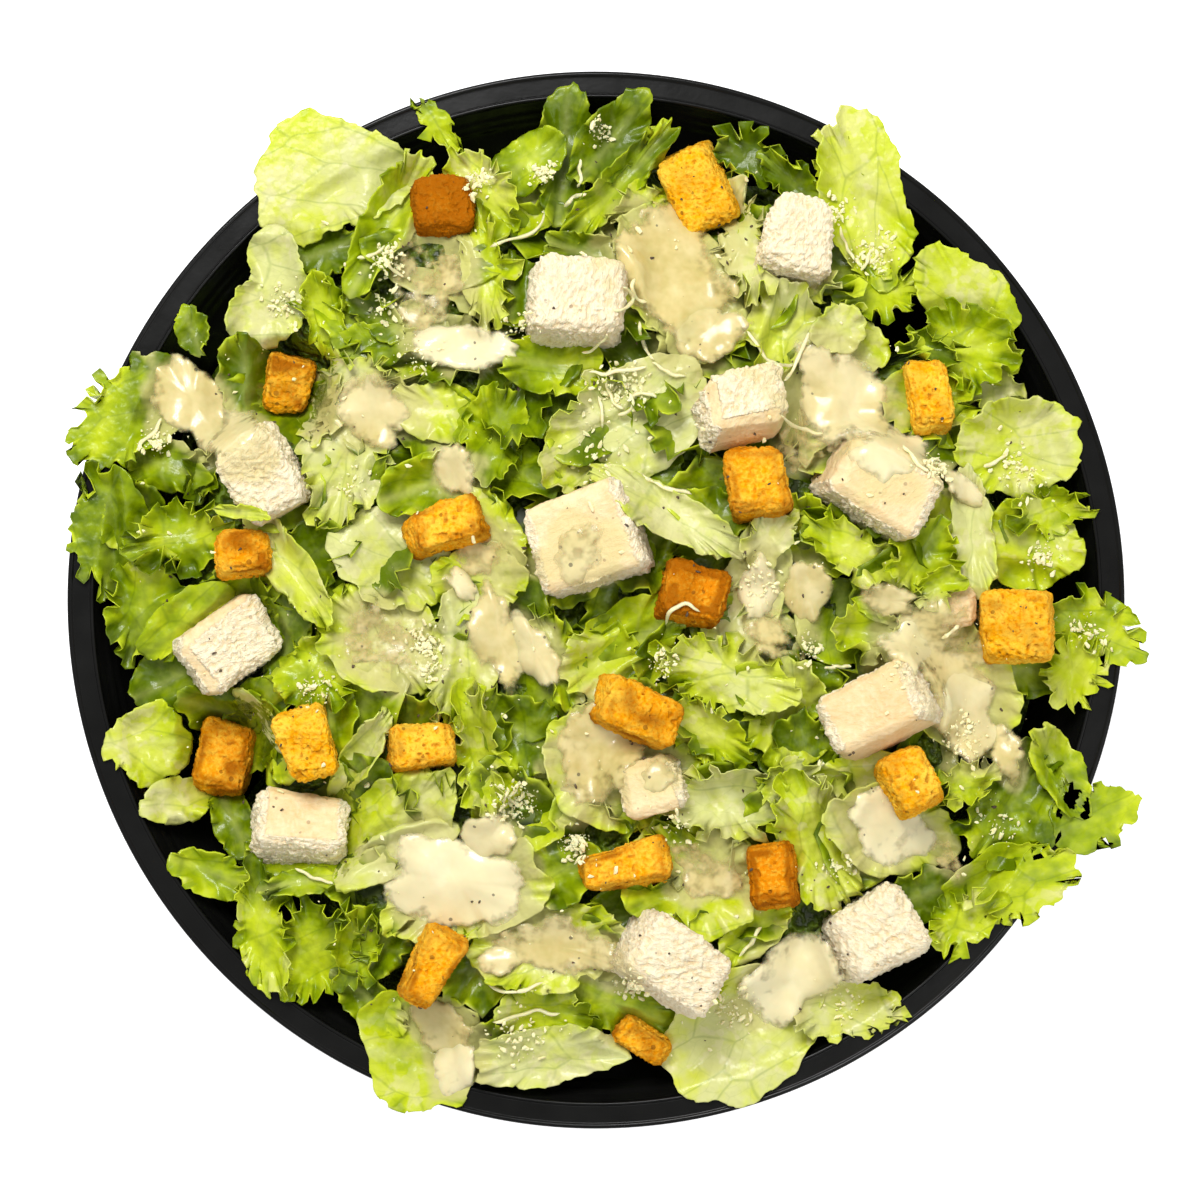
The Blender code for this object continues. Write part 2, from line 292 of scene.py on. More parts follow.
def node_points(name):
    """A CAD node's vertices in millimetres (N, 3) and its triangles (M, 3)."""
    mesh = frame["nodes"][name].data
    points = np.empty(len(mesh.vertices) * 3, np.float32)
    mesh.vertices.foreach_get("co", points)
    mesh.calc_loop_triangles()
    faces = np.empty(len(mesh.loop_triangles) * 3, np.int32)
    mesh.loop_triangles.foreach_get("vertices", faces)
    return points.reshape(-1, 3).astype(float) / MM, faces.reshape(-1, 3)


def heap_reach(angle):
    """How far the CAD heap reaches at each angle: the largest radius of its upper points in each sector,
    joined by straight steps."""
    points, _ = node_points("lettuce_heap")
    upper = points[points[:, 2] > UPPER_HEAP]
    step = 360.0 / SECTORS
    sector = np.floor(np.degrees(np.arctan2(upper[:, 1], upper[:, 0])) % 360.0 / step).astype(int)
    reach = np.full(SECTORS, LEAST_REACH)
    np.maximum.at(reach, sector, np.hypot(upper[:, 0], upper[:, 1]))
    middle = np.radians(np.arange(SECTORS) * step + 0.5 * step)
    return np.interp(np.asarray(angle) % (2 * math.pi), middle, reach, period=2 * math.pi)


def wall_height(radius):
    """Height of the bowl's inside at each radius."""
    profile = bowl_profile(WALL)
    inside = profile[: np.argmax(profile[:, 1])]
    return np.interp(radius, inside[:, 0], np.maximum.accumulate(inside[:, 1]))


class Chunk:
    """The flat faces of a convex CAD node: unit normals and their distances from its middle. Triangles below
    a tiny share of the largest are left out, and one whose normal times a larger one's comes near 1 is its
    part."""

    TINY = 0.02
    SAME_WAY = 0.995

    def __init__(self, name):
        points, faces = node_points(name)
        self.middle = (points.min(axis=0) + points.max(axis=0)) / 2.0
        self.low, self.high = points[:, 2].min(), points[:, 2].max()
        corners = points[faces] - self.middle
        normals = np.cross(corners[:, 1] - corners[:, 0], corners[:, 2] - corners[:, 0])
        area = np.linalg.norm(normals, axis=1)
        large = area > self.TINY * area.max()
        normals = normals[large] / area[large, None]
        distance = (normals * corners[large, 0]).sum(axis=1)
        order = np.argsort(-area[large])
        kept = []
        for k in order:
            if all(normals[k] @ normals[j] < self.SAME_WAY for j in kept):
                kept.append(k)
        self.normals, self.distance = normals[kept], distance[kept]

    def outside(self, x, y, z):
        """How far each point lies outside the nearest face (below 0 inside)."""
        offset = np.stack([x, y, z], -1) - self.middle
        return (offset @ self.normals.T - self.distance).max(axis=-1)


# ---------------------------------------------------------------- meshes


def vertex_normals(points, faces):
    """Each point's normal: the sum of the cross products of the faces that meet at it, made unit length."""
    corners = points[faces]
    across = np.cross(corners[:, 2] - corners[:, 0], corners[:, -1] - corners[:, 1])
    normals = np.zeros_like(points)
    for k in range(faces.shape[1]):
        for axis in range(3):
            normals[:, axis] += np.bincount(faces[:, k], across[:, axis], len(points))
    return normals / np.maximum(np.linalg.norm(normals, axis=1, keepdims=True), 1e-12)


def round_quads(rows, sides):
    """Quads between rows of points that each go once round."""
    row, side = np.meshgrid(np.arange(rows - 1), np.arange(sides), indexing="ij")
    after = (side + 1) % sides
    return np.stack([row * sides + side, (row + 1) * sides + side,
                     (row + 1) * sides + after, row * sides + after], -1).reshape(-1, 4)


def fan(start, sides, tip):
    """Triangles from a round of points to one tip, written as quads whose last corner repeats."""
    near, tips = np.arange(sides), np.full(sides, tip)
    return np.stack([start + near, start + (near + 1) % sides, tips, tips], 1)


def disc_faces(rings, spokes):
    """Faces of a disc of rings x spokes points round one centre point, which comes last."""
    return np.concatenate([round_quads(rings, spokes), fan(0, spokes, rings * spokes)])


def tube_faces(rows, sides):
    """Faces of a tube of rows x sides points, closed at its start and its end by two more points."""
    count = rows * sides
    end = turned_over(fan(count - sides, sides, count + 1))
    return np.concatenate([round_quads(rows, sides), fan(0, sides, count), end])


def turned_over(faces):
    """The same faces seen from the other side, with a triangle's repeated corner still last."""
    triangle = faces[:, 2] == faces[:, 3]
    back = faces[:, ::-1].copy()
    back[triangle] = faces[triangle][:, [1, 0, 2, 3]]
    return back


def disc_grid(rings, spokes, crowding):
    """The points of a disc, in the order of disc_faces: the share of the way out that each is at, and the
    number of its spoke. A crowding above 1 brings the rings closer together towards the margin."""
    share = 1.0 - (1.0 - np.arange(1, rings + 1) / rings) ** crowding
    s = np.concatenate([np.repeat(share, spokes), [0.0]])
    return s, np.concatenate([np.tile(np.arange(spokes), rings), [0]])


def closed_disc(top, bottom, rings, spokes):
    """A closed shell of two discs of one layout: the upper, the lower turned over, and a strip round them."""
    sheet = disc_faces(rings, spokes)
    count = len(top)
    rim = (rings - 1) * spokes + np.arange(spokes)
    after = (rings - 1) * spokes + (np.arange(spokes) + 1) % spokes
    strip = np.stack([rim, rim + count, after + count, after], 1)
    return np.concatenate([top, bottom]), np.concatenate([sheet, turned_over(sheet) + count, strip])


def shell_of(top, rings, spokes, thick):
    """A closed shell whose underside lies so far below its upper side, along the upper side's normals."""
    bottom = top - vertex_normals(top, disc_faces(rings, spokes)) * thick[:, None]
    return closed_disc(top, bottom, rings, spokes)


def joined(parts):
    """Several (points, quads, extras...) as one, with the face numbers moved along."""
    starts = np.cumsum([0] + [len(part[0]) for part in parts[:-1]])
    faces = np.concatenate([part[1] + start for part, start in zip(parts, starts)])
    rest = [np.concatenate(columns) for columns in zip(*[part[2:] for part in parts])]
    return [np.concatenate([part[0] for part in parts]), faces] + rest


def make_piece(name, points, faces, finish, tone=None, flat=None, rounded=True):
    """A mesh object from arrays. faces is (N, 4), where a triangle repeats its last corner. tone is three or
    four numbers for each point, kept as an attribute of that name, and flat is one (u, v) for each point."""
    mesh = bpy.data.meshes.new(name)
    keep = np.ones(faces.shape, bool)
    keep[faces[:, 2] == faces[:, 3], 3] = False
    loops = faces[keep]
    mesh.vertices.add(len(points))
    mesh.vertices.foreach_set("co", (points * MM).astype(np.float32).ravel())
    mesh.loops.add(len(loops))
    mesh.loops.foreach_set("vertex_index", loops.astype(np.int32))
    mesh.polygons.add(len(faces))
    starts = np.cumsum(keep.sum(axis=1)) - keep.sum(axis=1)
    mesh.polygons.foreach_set("loop_start", starts.astype(np.int32))
    mesh.polygons.foreach_set("use_smooth", np.full(len(faces), rounded))
    mesh.update(calc_edges=True)
    if tone is not None:
        layer = mesh.color_attributes.new("tone", "FLOAT_COLOR", "POINT")
        values = np.column_stack([np.clip(tone, 0.0, 1.0), np.ones(len(points))])[:, :4]
        layer.data.foreach_set("color", values.astype(np.float32).ravel())
    if flat is not None:
        layer = mesh.uv_layers.new(name="flat")
        layer.data.foreach_set("uv", flat[loops].astype(np.float32).ravel())
    if mesh.validate():
        raise RuntimeError(f"the mesh of {name} had faults")
    made = bpy.data.objects.new(name, mesh)
    bpy.context.scene.collection.objects.link(made)
    mesh.materials.append(finish)
    return made


def settle(made, slot, *nodes):
    """The piece rides on the bowl's body and stands for these CAD nodes, which are hidden. slot is not used.
    """
    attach(made, BODY)
    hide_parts(*nodes)


def surface_map(cell, prefixes):
    """The highest points of the finished pieces whose names start so, over the dome's lowered form."""
    heights = HeightMap(cell)
    heights.z = dome(heights.x, heights.y) - CORE_DEPTH
    for made in bpy.data.objects:
        if made.type != "MESH" or not made.name.startswith(prefixes) or made.name in frame["nodes"]:
            continue
        points = np.empty(len(made.data.vertices) * 3, np.float32)
        made.data.vertices.foreach_get("co", points)
        x, y, z = points.reshape(-1, 3).T / MM
        heights.raise_to(x, y, z)
    return heights


# ---------------------------------------------------------------- materials


def add_node(tree, kind, values=None, **settings):
    made = tree.nodes.new(kind)
    for key, value in settings.items():
        setattr(made, key, value)
    for key, value in (values or {}).items():
        made.inputs[key].default_value = value
    return made


def feed(tree, socket, value):
    """Links a socket to this input, or writes a plain value into it."""
    if isinstance(value, bpy.types.NodeSocket):
        tree.links.new(value, socket)
    elif isinstance(socket.default_value, (int, float)):
        socket.default_value = value
    else:
        socket.default_value = (*value[:3], 1.0)


def blend_colour(tree, share, first, second, mode="MIX"):
    made = add_node(tree, "ShaderNodeMix", data_type="RGBA", blend_type=mode)
    for index, value in ((0, share), (6, first), (7, second)):
        feed(tree, made.inputs[index], value)
    return made.outputs[2]


def remap(tree, value, low, high, out_low=0.0, out_high=1.0, kind="SMOOTHSTEP"):
    ends = {1: low, 2: high, 3: out_low, 4: out_high}
    made = add_node(tree, "ShaderNodeMapRange", ends, interpolation_type=kind)
    tree.links.new(value, made.inputs[0])
    return made.outputs[0]


def calc(tree, operation, first, second):
    made = add_node(tree, "ShaderNodeMath", operation=operation)
    feed(tree, made.inputs[0], first)
    feed(tree, made.inputs[1], second)
    return made.outputs[0]


def tint(tree, colour, share, strength, other):
    """The colour with another over it, by a share that changes over the surface, times a strength."""
    return blend_colour(tree, calc(tree, "MULTIPLY", share, strength), colour, other)


def swing(tree, patches, size):
    """Patches from 0 to 1 as a value that swings round 0, this much from its lowest to its highest."""
    return calc(tree, "MULTIPLY", calc(tree, "SUBTRACT", patches, 0.5), size)


def milky_share(tree, washed, patches, low, high, most):
    """How much thin dressing whitens a surface: the wash and its uneven patches together, remapped."""
    total = calc(tree, "ADD", washed, calc(tree, "MULTIPLY", patches, 0.35))
    return remap(tree, total, low, high, 0.0, most)


def texture(tree, kind, vector, scale, **values):
    made = add_node(tree, kind, {"Scale": scale, **values})
    tree.links.new(vector, made.inputs["Vector"])
    return made


def grain_noise(tree, vector, scale, **values):
    return texture(tree, "ShaderNodeTexNoise", vector, scale, **values).outputs["Fac"]


def cell_edges(tree, vector, scale, flat=True):
    """Distance to the nearest border of a pattern of cells, on a flat leaf or through a solid."""
    made = texture(tree, "ShaderNodeTexVoronoi", vector, scale)
    made.voronoi_dimensions = "2D" if flat else "3D"
    made.feature = "DISTANCE_TO_EDGE"
    return made.outputs["Distance"]


def new_group(name, inputs, outputs):
    """An empty shader node group with sockets of (name, type, default) in and (name, type) out."""
    group = bpy.data.node_groups.new(name, "ShaderNodeTree")
    for label, kind, default in inputs:
        socket = group.interface.new_socket(label, in_out="INPUT", socket_type=kind)
        if default is not None:
            socket.default_value = default
    for label, kind in outputs:
        group.interface.new_socket(label, in_out="OUTPUT", socket_type=kind)
    return group, group.nodes.new("NodeGroupInput"), group.nodes.new("NodeGroupOutput")


def speck_group():
    """Sparse specks: the distance to the points of a cell pattern, cut at a small radius in some cells."""
    sockets = [("Vector", "NodeSocketVector", None), ("Scale", "NodeSocketFloat", 600.0),
               ("Size", "NodeSocketFloat", 0.3), ("Share", "NodeSocketFloat", 0.2)]
    group, given, out = new_group("Specks", sockets, [("Mask", "NodeSocketFloat")])
    cells = add_node(group, "ShaderNodeTexVoronoi")
    group.links.new(given.outputs["Vector"], cells.inputs["Vector"])
    group.links.new(given.outputs["Scale"], cells.inputs["Scale"])
    parts = add_node(group, "ShaderNodeSeparateColor")
    group.links.new(cells.outputs["Color"], parts.inputs[0])
    size = calc(group, "MULTIPLY", given.outputs["Size"], parts.outputs[1])
    near = calc(group, "LESS_THAN", cells.outputs["Distance"], size)
    chosen = calc(group, "LESS_THAN", parts.outputs[0], given.outputs["Share"])
    group.links.new(calc(group, "MULTIPLY", near, chosen), out.inputs["Mask"])
    return group


def mottle_group():
    """Soft uneven patches: two noises of different width, added, and stretched in contrast about the
    middle."""
    sockets = [("Vector", "NodeSocketVector", None), ("Scale", "NodeSocketFloat", 100.0),
               ("Contrast", "NodeSocketFloat", 2.0)]
    group, given, out = new_group("Mottle", sockets, [("Value", "NodeSocketFloat")])
    total = None
    for factor in (1.0, 3.7):
        grain = add_node(group, "ShaderNodeTexNoise", {"Detail": 1.6, "Roughness": 0.6})
        group.links.new(given.outputs["Vector"], grain.inputs["Vector"])
        group.links.new(calc(group, "MULTIPLY", given.outputs["Scale"], factor), grain.inputs["Scale"])
        total = grain.outputs["Fac"] if total is None else calc(group, "ADD", total, grain.outputs["Fac"])
    centred = calc(group, "MULTIPLY", calc(group, "SUBTRACT", total, 1.0), given.outputs["Contrast"])
    held = add_node(group, "ShaderNodeClamp")
    group.links.new(calc(group, "ADD", centred, 0.5), held.inputs[0])
    group.links.new(held.outputs[0], out.inputs["Value"])
    return group


def place_group(tree, name, maker, **values):
    """The output of a shared node group in this material, with its own values."""
    group = bpy.data.node_groups.get(name) or maker()
    made = add_node(tree, "ShaderNodeGroup", node_tree=group)
    for key, value in values.items():
        feed(tree, made.inputs[key], value)
    return made.outputs[0]


def mottle(tree, where, scale, contrast):
    """Soft uneven patches, from 0 to 1."""
    return place_group(tree, "Mottle", mottle_group, Vector=where, Scale=scale, Contrast=contrast)


def speckle(tree, where, scale, size, share):
    """Sparse specks: 1 inside a speck, and 0 elsewhere."""
    return place_group(tree, "Specks", speck_group, Vector=where, Scale=scale, Size=size, Share=share)


def new_material(name, **values):
    """(material, node tree, Principled shader, Object coordinates), with these plain values on the shader."""
    made = bpy.data.materials.new(name)
    made.use_nodes = True
    tree = made.node_tree
    shader = tree.nodes["Principled BSDF"]
    for key, value in values.items():
        shader.inputs[key.replace("_", " ")].default_value = value
    return made, tree, shader, add_node(tree, "ShaderNodeTexCoord").outputs["Object"]


def tone_parts(tree):
    """The four numbers of the piece's tone attribute."""
    tone = add_node(tree, "ShaderNodeVertexColor", layer_name="tone")
    parts = add_node(tree, "ShaderNodeSeparateColor")
    tree.links.new(tone.outputs["Color"], parts.inputs[0])
    return parts.outputs[0], parts.outputs[1], parts.outputs[2], tone.outputs["Alpha"]


def flat_vector(tree):
    return add_node(tree, "ShaderNodeUVMap", uv_map="flat").outputs[0]


def bump(tree, shader, height, strength, distance):
    made = add_node(tree, "ShaderNodeBump", {"Strength": strength, "Distance": distance})
    tree.links.new(height, made.inputs["Height"])
    tree.links.new(made.outputs["Normal"], shader.inputs["Normal"])
    return made.outputs["Normal"]


def let_light_through(tree, shader, colour, normal, share):
    """Mixes in a translucent shader of the same colour, for light from behind."""
    through = add_node(tree, "ShaderNodeBsdfTranslucent")
    tree.links.new(colour, through.inputs["Color"])
    tree.links.new(normal, through.inputs["Normal"])
    both = add_node(tree, "ShaderNodeMixShader", {0: share})
    tree.links.new(shader.outputs[0], both.inputs[1])
    tree.links.new(through.outputs[0], both.inputs[2])
    output = next(node for node in tree.nodes if node.type == "OUTPUT_MATERIAL")
    tree.links.new(both.outputs[0], output.inputs["Surface"])


def leaf_material(colours):
    """Lettuce. tone is how near the margin a point is, with a painted highlight on ruffle crests and along
    every margin, how near a rib, how deep its green is, lighter on crests, swells and crease ridges and
    deeper in troughs as painted light and shade, and how much thin dressing lies on it."""
    made, tree, shader, where = new_material("lettuce_leaf", Roughness=0.3, Specular_IOR_Level=0.22,
                                             Coat_Weight=0.2, Coat_Roughness=0.12)
    margin, rib, depth, washed = tone_parts(tree)
    flat = flat_vector(tree)
    patches = mottle(tree, flat, 0.9, 2.0)
    shift = swing(tree, patches, 0.30)
    ramp = add_node(tree, "ShaderNodeValToRGB")
    stops = ((0.0, colours.leaf_cream), (0.28, colours.leaf_pale), (0.52, colours.leaf_light),
             (0.76, colours.leaf_mid), (1.0, colours.leaf_deep))
    for place, _ in stops[1:-1]:
        ramp.color_ramp.elements.new(place)
    for element, (_, colour) in zip(ramp.color_ramp.elements, stops):
        element.color = (*colour, 1.0)
    tree.links.new(calc(tree, "ADD", depth, shift), ramp.inputs[0])
    # margin holds the ruffled margin's own yellow green, plus a painted highlight on crests and along every
    # edge
    colour = blend_colour(tree, remap(tree, margin, 0.35, 1.0, 0.0, 0.8), ramp.outputs[0], colours.leaf_edge)
    warp = add_node(tree, "ShaderNodeMix", {0: 0.16}, data_type="VECTOR")
    wave = texture(tree, "ShaderNodeTexNoise", flat, 1.6, Detail=1.0)
    tree.links.new(flat, warp.inputs[4])
    tree.links.new(wave.outputs["Color"], warp.inputs[5])
    course = add_node(tree, "ShaderNodeMapping", {"Scale": (0.62, 1.25, 1.0)})
    tree.links.new(warp.outputs[1], course.inputs["Vector"])
    fine = remap(tree, cell_edges(tree, course.outputs[0], 4.0), 0.0, 0.06, 0.3, 0.0)
    coarse = remap(tree, cell_edges(tree, course.outputs[0], 1.3), 0.0, 0.04, 1.0, 0.0)
    net = calc(tree, "MAXIMUM", fine, coarse)
    darker = blend_colour(tree, 1.0, colour, (0.42, 0.52, 0.3), "MULTIPLY")
    colour = tint(tree, colour, net, 0.42, darker)
    colour = blend_colour(tree, rib, colour, colours.leaf_rib)
    smears = mottle(tree, where, 105.0, 3.0)
    film = remap(tree, smears, 0.72, 1.0, 0.0, 0.32)
    film = calc(tree, "MULTIPLY", film, remap(tree, depth, 0.3, 0.7, 1.0, 0.1))
    colour = blend_colour(tree, film, colour, colours.dressing_thick)
    patches = mottle(tree, where, 130.0, 1.8)
    milky = milky_share(tree, washed, patches, 0.45, 1.25, 0.82)
    colour = blend_colour(tree, milky, colour, colours.dressing_film)
    tree.links.new(colour, shader.inputs["Base Color"])
    blister = grain_noise(tree, flat, 5.0, Detail=1.5)
    normal = bump(tree, shader, blister, 0.55, 0.0009)
    let_light_through(tree, shader, colour, normal, 0.2)
    return made


def core_material(colours):
    """The leaves deep in the heap: near-black green patches, painted shade of the gaps deep in the heap,
    blended with deep leaf green, between lighter edges.
    """
    made, tree, shader, where = new_material("deep_leaves", Roughness=0.5)
    patches = mottle(tree, where, 120.0, 3.0)
    # painted shade: the near-black green stands for the shade in the deep gaps between leaves
    colour = blend_colour(tree, patches, (0.022, 0.038, 0.003), colours.leaf_deep)
    line = remap(tree, cell_edges(tree, where, 110.0, False), 0.0, 0.07, 1.0, 0.0)
    colour = tint(tree, colour, line, 0.2, colours.leaf_mid)
    tree.links.new(colour, shader.inputs["Base Color"])
    bump(tree, shader, patches, 0.8, 0.002)
    return made


def chicken_material(colours):
    """Cooked breast. tone is how fibrous a point is, how much of the browned outside it has, how pale it is,
    from its white cut fibres and, as painted light and shade, paler where its surface stands out and darker
    in its hollows, and how much thin dressing lies on it."""
    made, tree, shader, where = new_material("cooked_chicken", Roughness=0.55, Subsurface_Weight=0.12,
                                             Subsurface_Scale=0.003, Specular_IOR_Level=0.25)
    shader.inputs["Subsurface Radius"].default_value = (1.0, 0.6, 0.4)
    fibrous, browned, pale, washed = tone_parts(tree)
    stretched = add_node(tree, "ShaderNodeMapping", {"Scale": (1.0, 2.4, 1.0)})
    tree.links.new(flat_vector(tree), stretched.inputs["Vector"])
    fibres = grain_noise(tree, stretched.outputs[0], 6.0, Detail=3.0, Roughness=0.7)
    patches = mottle(tree, where, 150.0, 1.8)
    colour = blend_colour(tree, patches, colours.chicken_beige, colours.chicken_light)
    colour = tint(tree, colour, browned, 0.8, colours.chicken_skin)
    streak = remap(tree, fibres, 0.40, 0.60)
    strands = blend_colour(tree, streak, colour, colours.chicken_white)
    colour = blend_colour(tree, fibrous, colour, strands)
    # pale includes painted light on raised parts and painted shade in hollows
    colour = blend_colour(tree, pale, colour, colours.chicken_white)
    milky = milky_share(tree, washed, patches, 0.35, 1.2, 0.7)
    colour = blend_colour(tree, milky, colour, colours.dressing_light)
    specks = speckle(tree, where, 650.0, 0.26, 0.10)
    colour = tint(tree, colour, specks, 0.5, (0.25, 0.14, 0.07))
    tree.links.new(colour, shader.inputs["Base Color"])
    relief = calc(tree, "MULTIPLY", fibres, calc(tree, "ADD", fibrous, 0.25))
    bump(tree, shader, relief, 0.8, 0.0010)
    return made


def crouton_material(colours):
    """Baked bread. tone is the browned edge, the deeper crust side and the depth of a pore, where pits are
    darkened and grains lightened as painted shade and light.
    """
    made, tree, shader, where = new_material("baked_crouton", Roughness=0.8, Specular_IOR_Level=0.06)
    edge, crust, pore_shade, _ = tone_parts(tree)
    patches = mottle(tree, where, 200.0, 2.4)
    colour = blend_colour(tree, patches, colours.crouton_gold, colours.crouton_crumb)
    colour = tint(tree, colour, crust, 0.9, colours.crouton_crust)
    crumbs = grain_noise(tree, where, 1500.0, Detail=2.0)
    colour = blend_colour(tree, remap(tree, crumbs, 0.48, 0.68, 0.0, 0.5), colour, colours.crouton_crumb)
    colour = blend_colour(tree, remap(tree, crumbs, 0.46, 0.32, 0.0, 0.7), colour, colours.crouton_crust)
    # pore_shade darkens the pits as painted shade
    colour = blend_colour(tree, calc(tree, "MAXIMUM", edge, pore_shade), colour, colours.crouton_brown)
    specks = speckle(tree, where, 560.0, 0.32, 0.18)
    colour = tint(tree, colour, specks, 0.6, (0.16, 0.055, 0.006))
    tree.links.new(colour, shader.inputs["Base Color"])
    bump(tree, shader, crumbs, 0.6, 0.0008)
    return made


def dressing_material(colours):
    """Creamy dressing with pepper. tone is its thickness, for it turns clear where it thins out, and how
    chalky it is."""
    made, tree, shader, where = new_material("caesar_dressing", Roughness=0.3, Subsurface_Weight=0.1,
                                             Subsurface_Scale=0.002, Specular_IOR_Level=0.3, Coat_Weight=0.4,
                                             Coat_Roughness=0.1)
    thickness, chalky, _, _ = tone_parts(tree)
    patches = mottle(tree, where, 120.0, 2.0)
    colour = blend_colour(tree, patches, colours.dressing_shade, colours.dressing_light)
    colour = blend_colour(tree, chalky, colour, colours.dressing_thick)
    pepper = speckle(tree, where, 620.0, 0.26, 0.16)
    colour = tint(tree, colour, pepper, 0.7, (0.06, 0.05, 0.035))
    tree.links.new(colour, shader.inputs["Base Color"])
    body = calc(tree, "ADD", thickness, swing(tree, patches, 0.42))
    tree.links.new(remap(tree, body, 0.08, 0.52, 0.0, 0.97), shader.inputs["Alpha"])
    ripple = grain_noise(tree, where, 150.0, Detail=1.0)
    bump(tree, shader, ripple, 0.35, 0.0016)
    return made


def cheese_material(colours):
    """Grated hard cheese: pale cream with a faint grain."""
    made, tree, shader, where = new_material("grated_cheese", Roughness=0.45, Subsurface_Weight=0.15,
                                             Subsurface_Scale=0.001)
    grain = grain_noise(tree, where, 700.0, Detail=3.0)
    colour = blend_colour(tree, grain, colours.cheese_shade, colours.cheese_light)
    tree.links.new(colour, shader.inputs["Base Color"])
    bump(tree, shader, grain, 0.4, 0.0004)
    return made


def pepper_material():
    """Ground pepper: near-black flakes with some brown ones."""
    made, tree, shader, where = new_material("ground_pepper", Roughness=0.7)
    grain = grain_noise(tree, where, 1600.0)
    colour = blend_colour(tree, grain, (0.02, 0.014, 0.01), (0.16, 0.10, 0.05))
    tree.links.new(colour, shader.inputs["Base Color"])
    return made


def bowl_material(colours):
    """Moulded black plastic: glossy, with a faint flow mottle in its colour and shine."""
    made, tree, shader, where = new_material("black_plastic", Specular_IOR_Level=0.16)
    flow = mottle(tree, where, 40.0, 1.4)
    dark = tuple(colours.bowl_black)
    colour = blend_colour(tree, flow, dark, tuple(1.6 * part for part in dark))
    tree.links.new(colour, shader.inputs["Base Color"])
    tree.links.new(remap(tree, flow, 0.0, 1.0, 0.18, 0.27, "LINEAR"), shader.inputs["Roughness"])
    grain = grain_noise(tree, where, 900.0, Detail=2.0)
    bump(tree, shader, grain, 0.05, 0.0003)
    return made


# ---------------------------------------------------------------- bowl


def arc(centre, radius, start, end, steps):
    """Points round a circle in the (radius, height) plane, from the start angle to the end angle."""
    angle = np.radians(np.linspace(start, end, steps))
    return np.stack([centre[0] + radius * np.cos(angle), centre[1] + radius * np.sin(angle)], 1)


def bowl_profile(wall):
    """The bowl's section from its middle out over the inside, over the rim, down the outside and back under
    the foot. Radii are shares of the rim's or counted in from it, and heights start at the table or at the
    rim."""
    r, h = RIM_RADIUS, RIM_HEIGHT
    inside = [(0.30 * r, 1.4), (0.58 * r, 1.4), (0.618 * r, 1.9), (0.645 * r, 3.6), (0.675 * r, 6.4),
              (0.72 * r, 12.0), (0.81 * r, 24.2), (0.91 * r, 0.79 * h)]
    steps = [(0.917 * r, 0.814 * h), (0.921 * r, 0.843 * h), (0.928 * r, 0.866 * h), (0.932 * r, 0.895 * h),
             (0.939 * r, 0.919 * h), (0.943 * r, 0.947 * h), (0.949 * r, 0.985 * h)]
    inner_bead = arc((0.9535 * r, h + 0.22), 0.38, 170.0, 15.0, 8)
    band = [(0.9585 * r, h + 0.36), (0.9605 * r, h + 0.36), (0.987 * r, h + 0.36), (0.989 * r, h + 0.37)]
    outer_bead = arc((r - 0.55, h + 0.10), 0.55, 125.0, -30.0, 14)
    skirt = [(r - 0.25, h - 2.6), (r - 0.25, h - 3.8), (r - 0.9, h - 3.9), (r - 1.2, h - 3.2)]
    neck = [(r - 1.4, h - 1.9), (0.965 * r, h - 1.7), (0.957 * r, h - 4.6)]
    outside = [(0.926 * r + wall - WALL, 0.76 * h), (0.825 * r, 24.0), (0.689 * r, 5.3), (0.672 * r, 2.6),
               (0.65 * r, 0.8), (0.632 * r, 0.1), (0.615 * r, 0.0), (0.60 * r, 0.35), (0.30 * r, 0.35)]
    return np.concatenate([inside, steps, inner_bead, band, outer_bead, skirt, neck, outside])


def fine_profile(corners, spacing):
    """The profile with its corners cut twice, at a quarter of each side, and its long sides divided."""
    for _ in range(2):
        nearer, farther = mix(corners[:-1], corners[1:], 0.25), mix(corners[:-1], corners[1:], 0.75)
        middle = np.stack([nearer, farther], 1).reshape(-1, 2)
        corners = np.concatenate([corners[:1], middle, corners[-1:]])
    pieces = []
    for start, end in zip(corners[:-1], corners[1:]):
        count = max(1, int(np.hypot(*(end - start)) / spacing))
        pieces.append(mix(start, end, np.arange(count)[:, None] / count))
    return np.concatenate(pieces + [corners[-1:]])


def bowl_piece(sizes, finish):
    """The profile turned about the upright axis: (radius cos a, radius sin a, height), with a point on the
    axis at each end. Small stacking lugs push the inside in by a bell curve of angle and one of height."""
    profile = fine_profile(bowl_profile(sizes.wall / MM), sizes.profile_step / MM)
    spokes = sizes.segments
    angle = spoke_angles(spokes)
    radius, height = (np.repeat(column[:, None], spokes, axis=1) for column in profile.T)
    inside = np.arange(len(profile)) < np.argmax(profile[:, 1])
    level = np.exp(-(((height - LUG_LEVEL * RIM_HEIGHT) / LUG_HEIGHT) ** 4))
    for turn in range(LUGS):
        lug = math.radians(LUG_ANGLE + 360.0 / LUGS * turn)
        away = np.degrees(np.angle(np.exp(1j * (angle - lug))))
        radius = radius - LUG_DEPTH * (np.exp(-((away / LUG_WIDTH) ** 4))[None] * level) * inside[:, None]
    points = np.stack([radius * np.cos(angle), radius * np.sin(angle), height], -1).reshape(-1, 3)
    ends = [[0.0, 0.0, profile[0, 1]], [0.0, 0.0, profile[-1, 1]]]
    return make_piece("bowl_shell", np.concatenate([points, ends]), tube_faces(len(profile), spokes), finish)


# ---------------------------------------------------------------- places on the heap

# The shape that leaves an oval as it is
OVAL = (1.0,) * 8


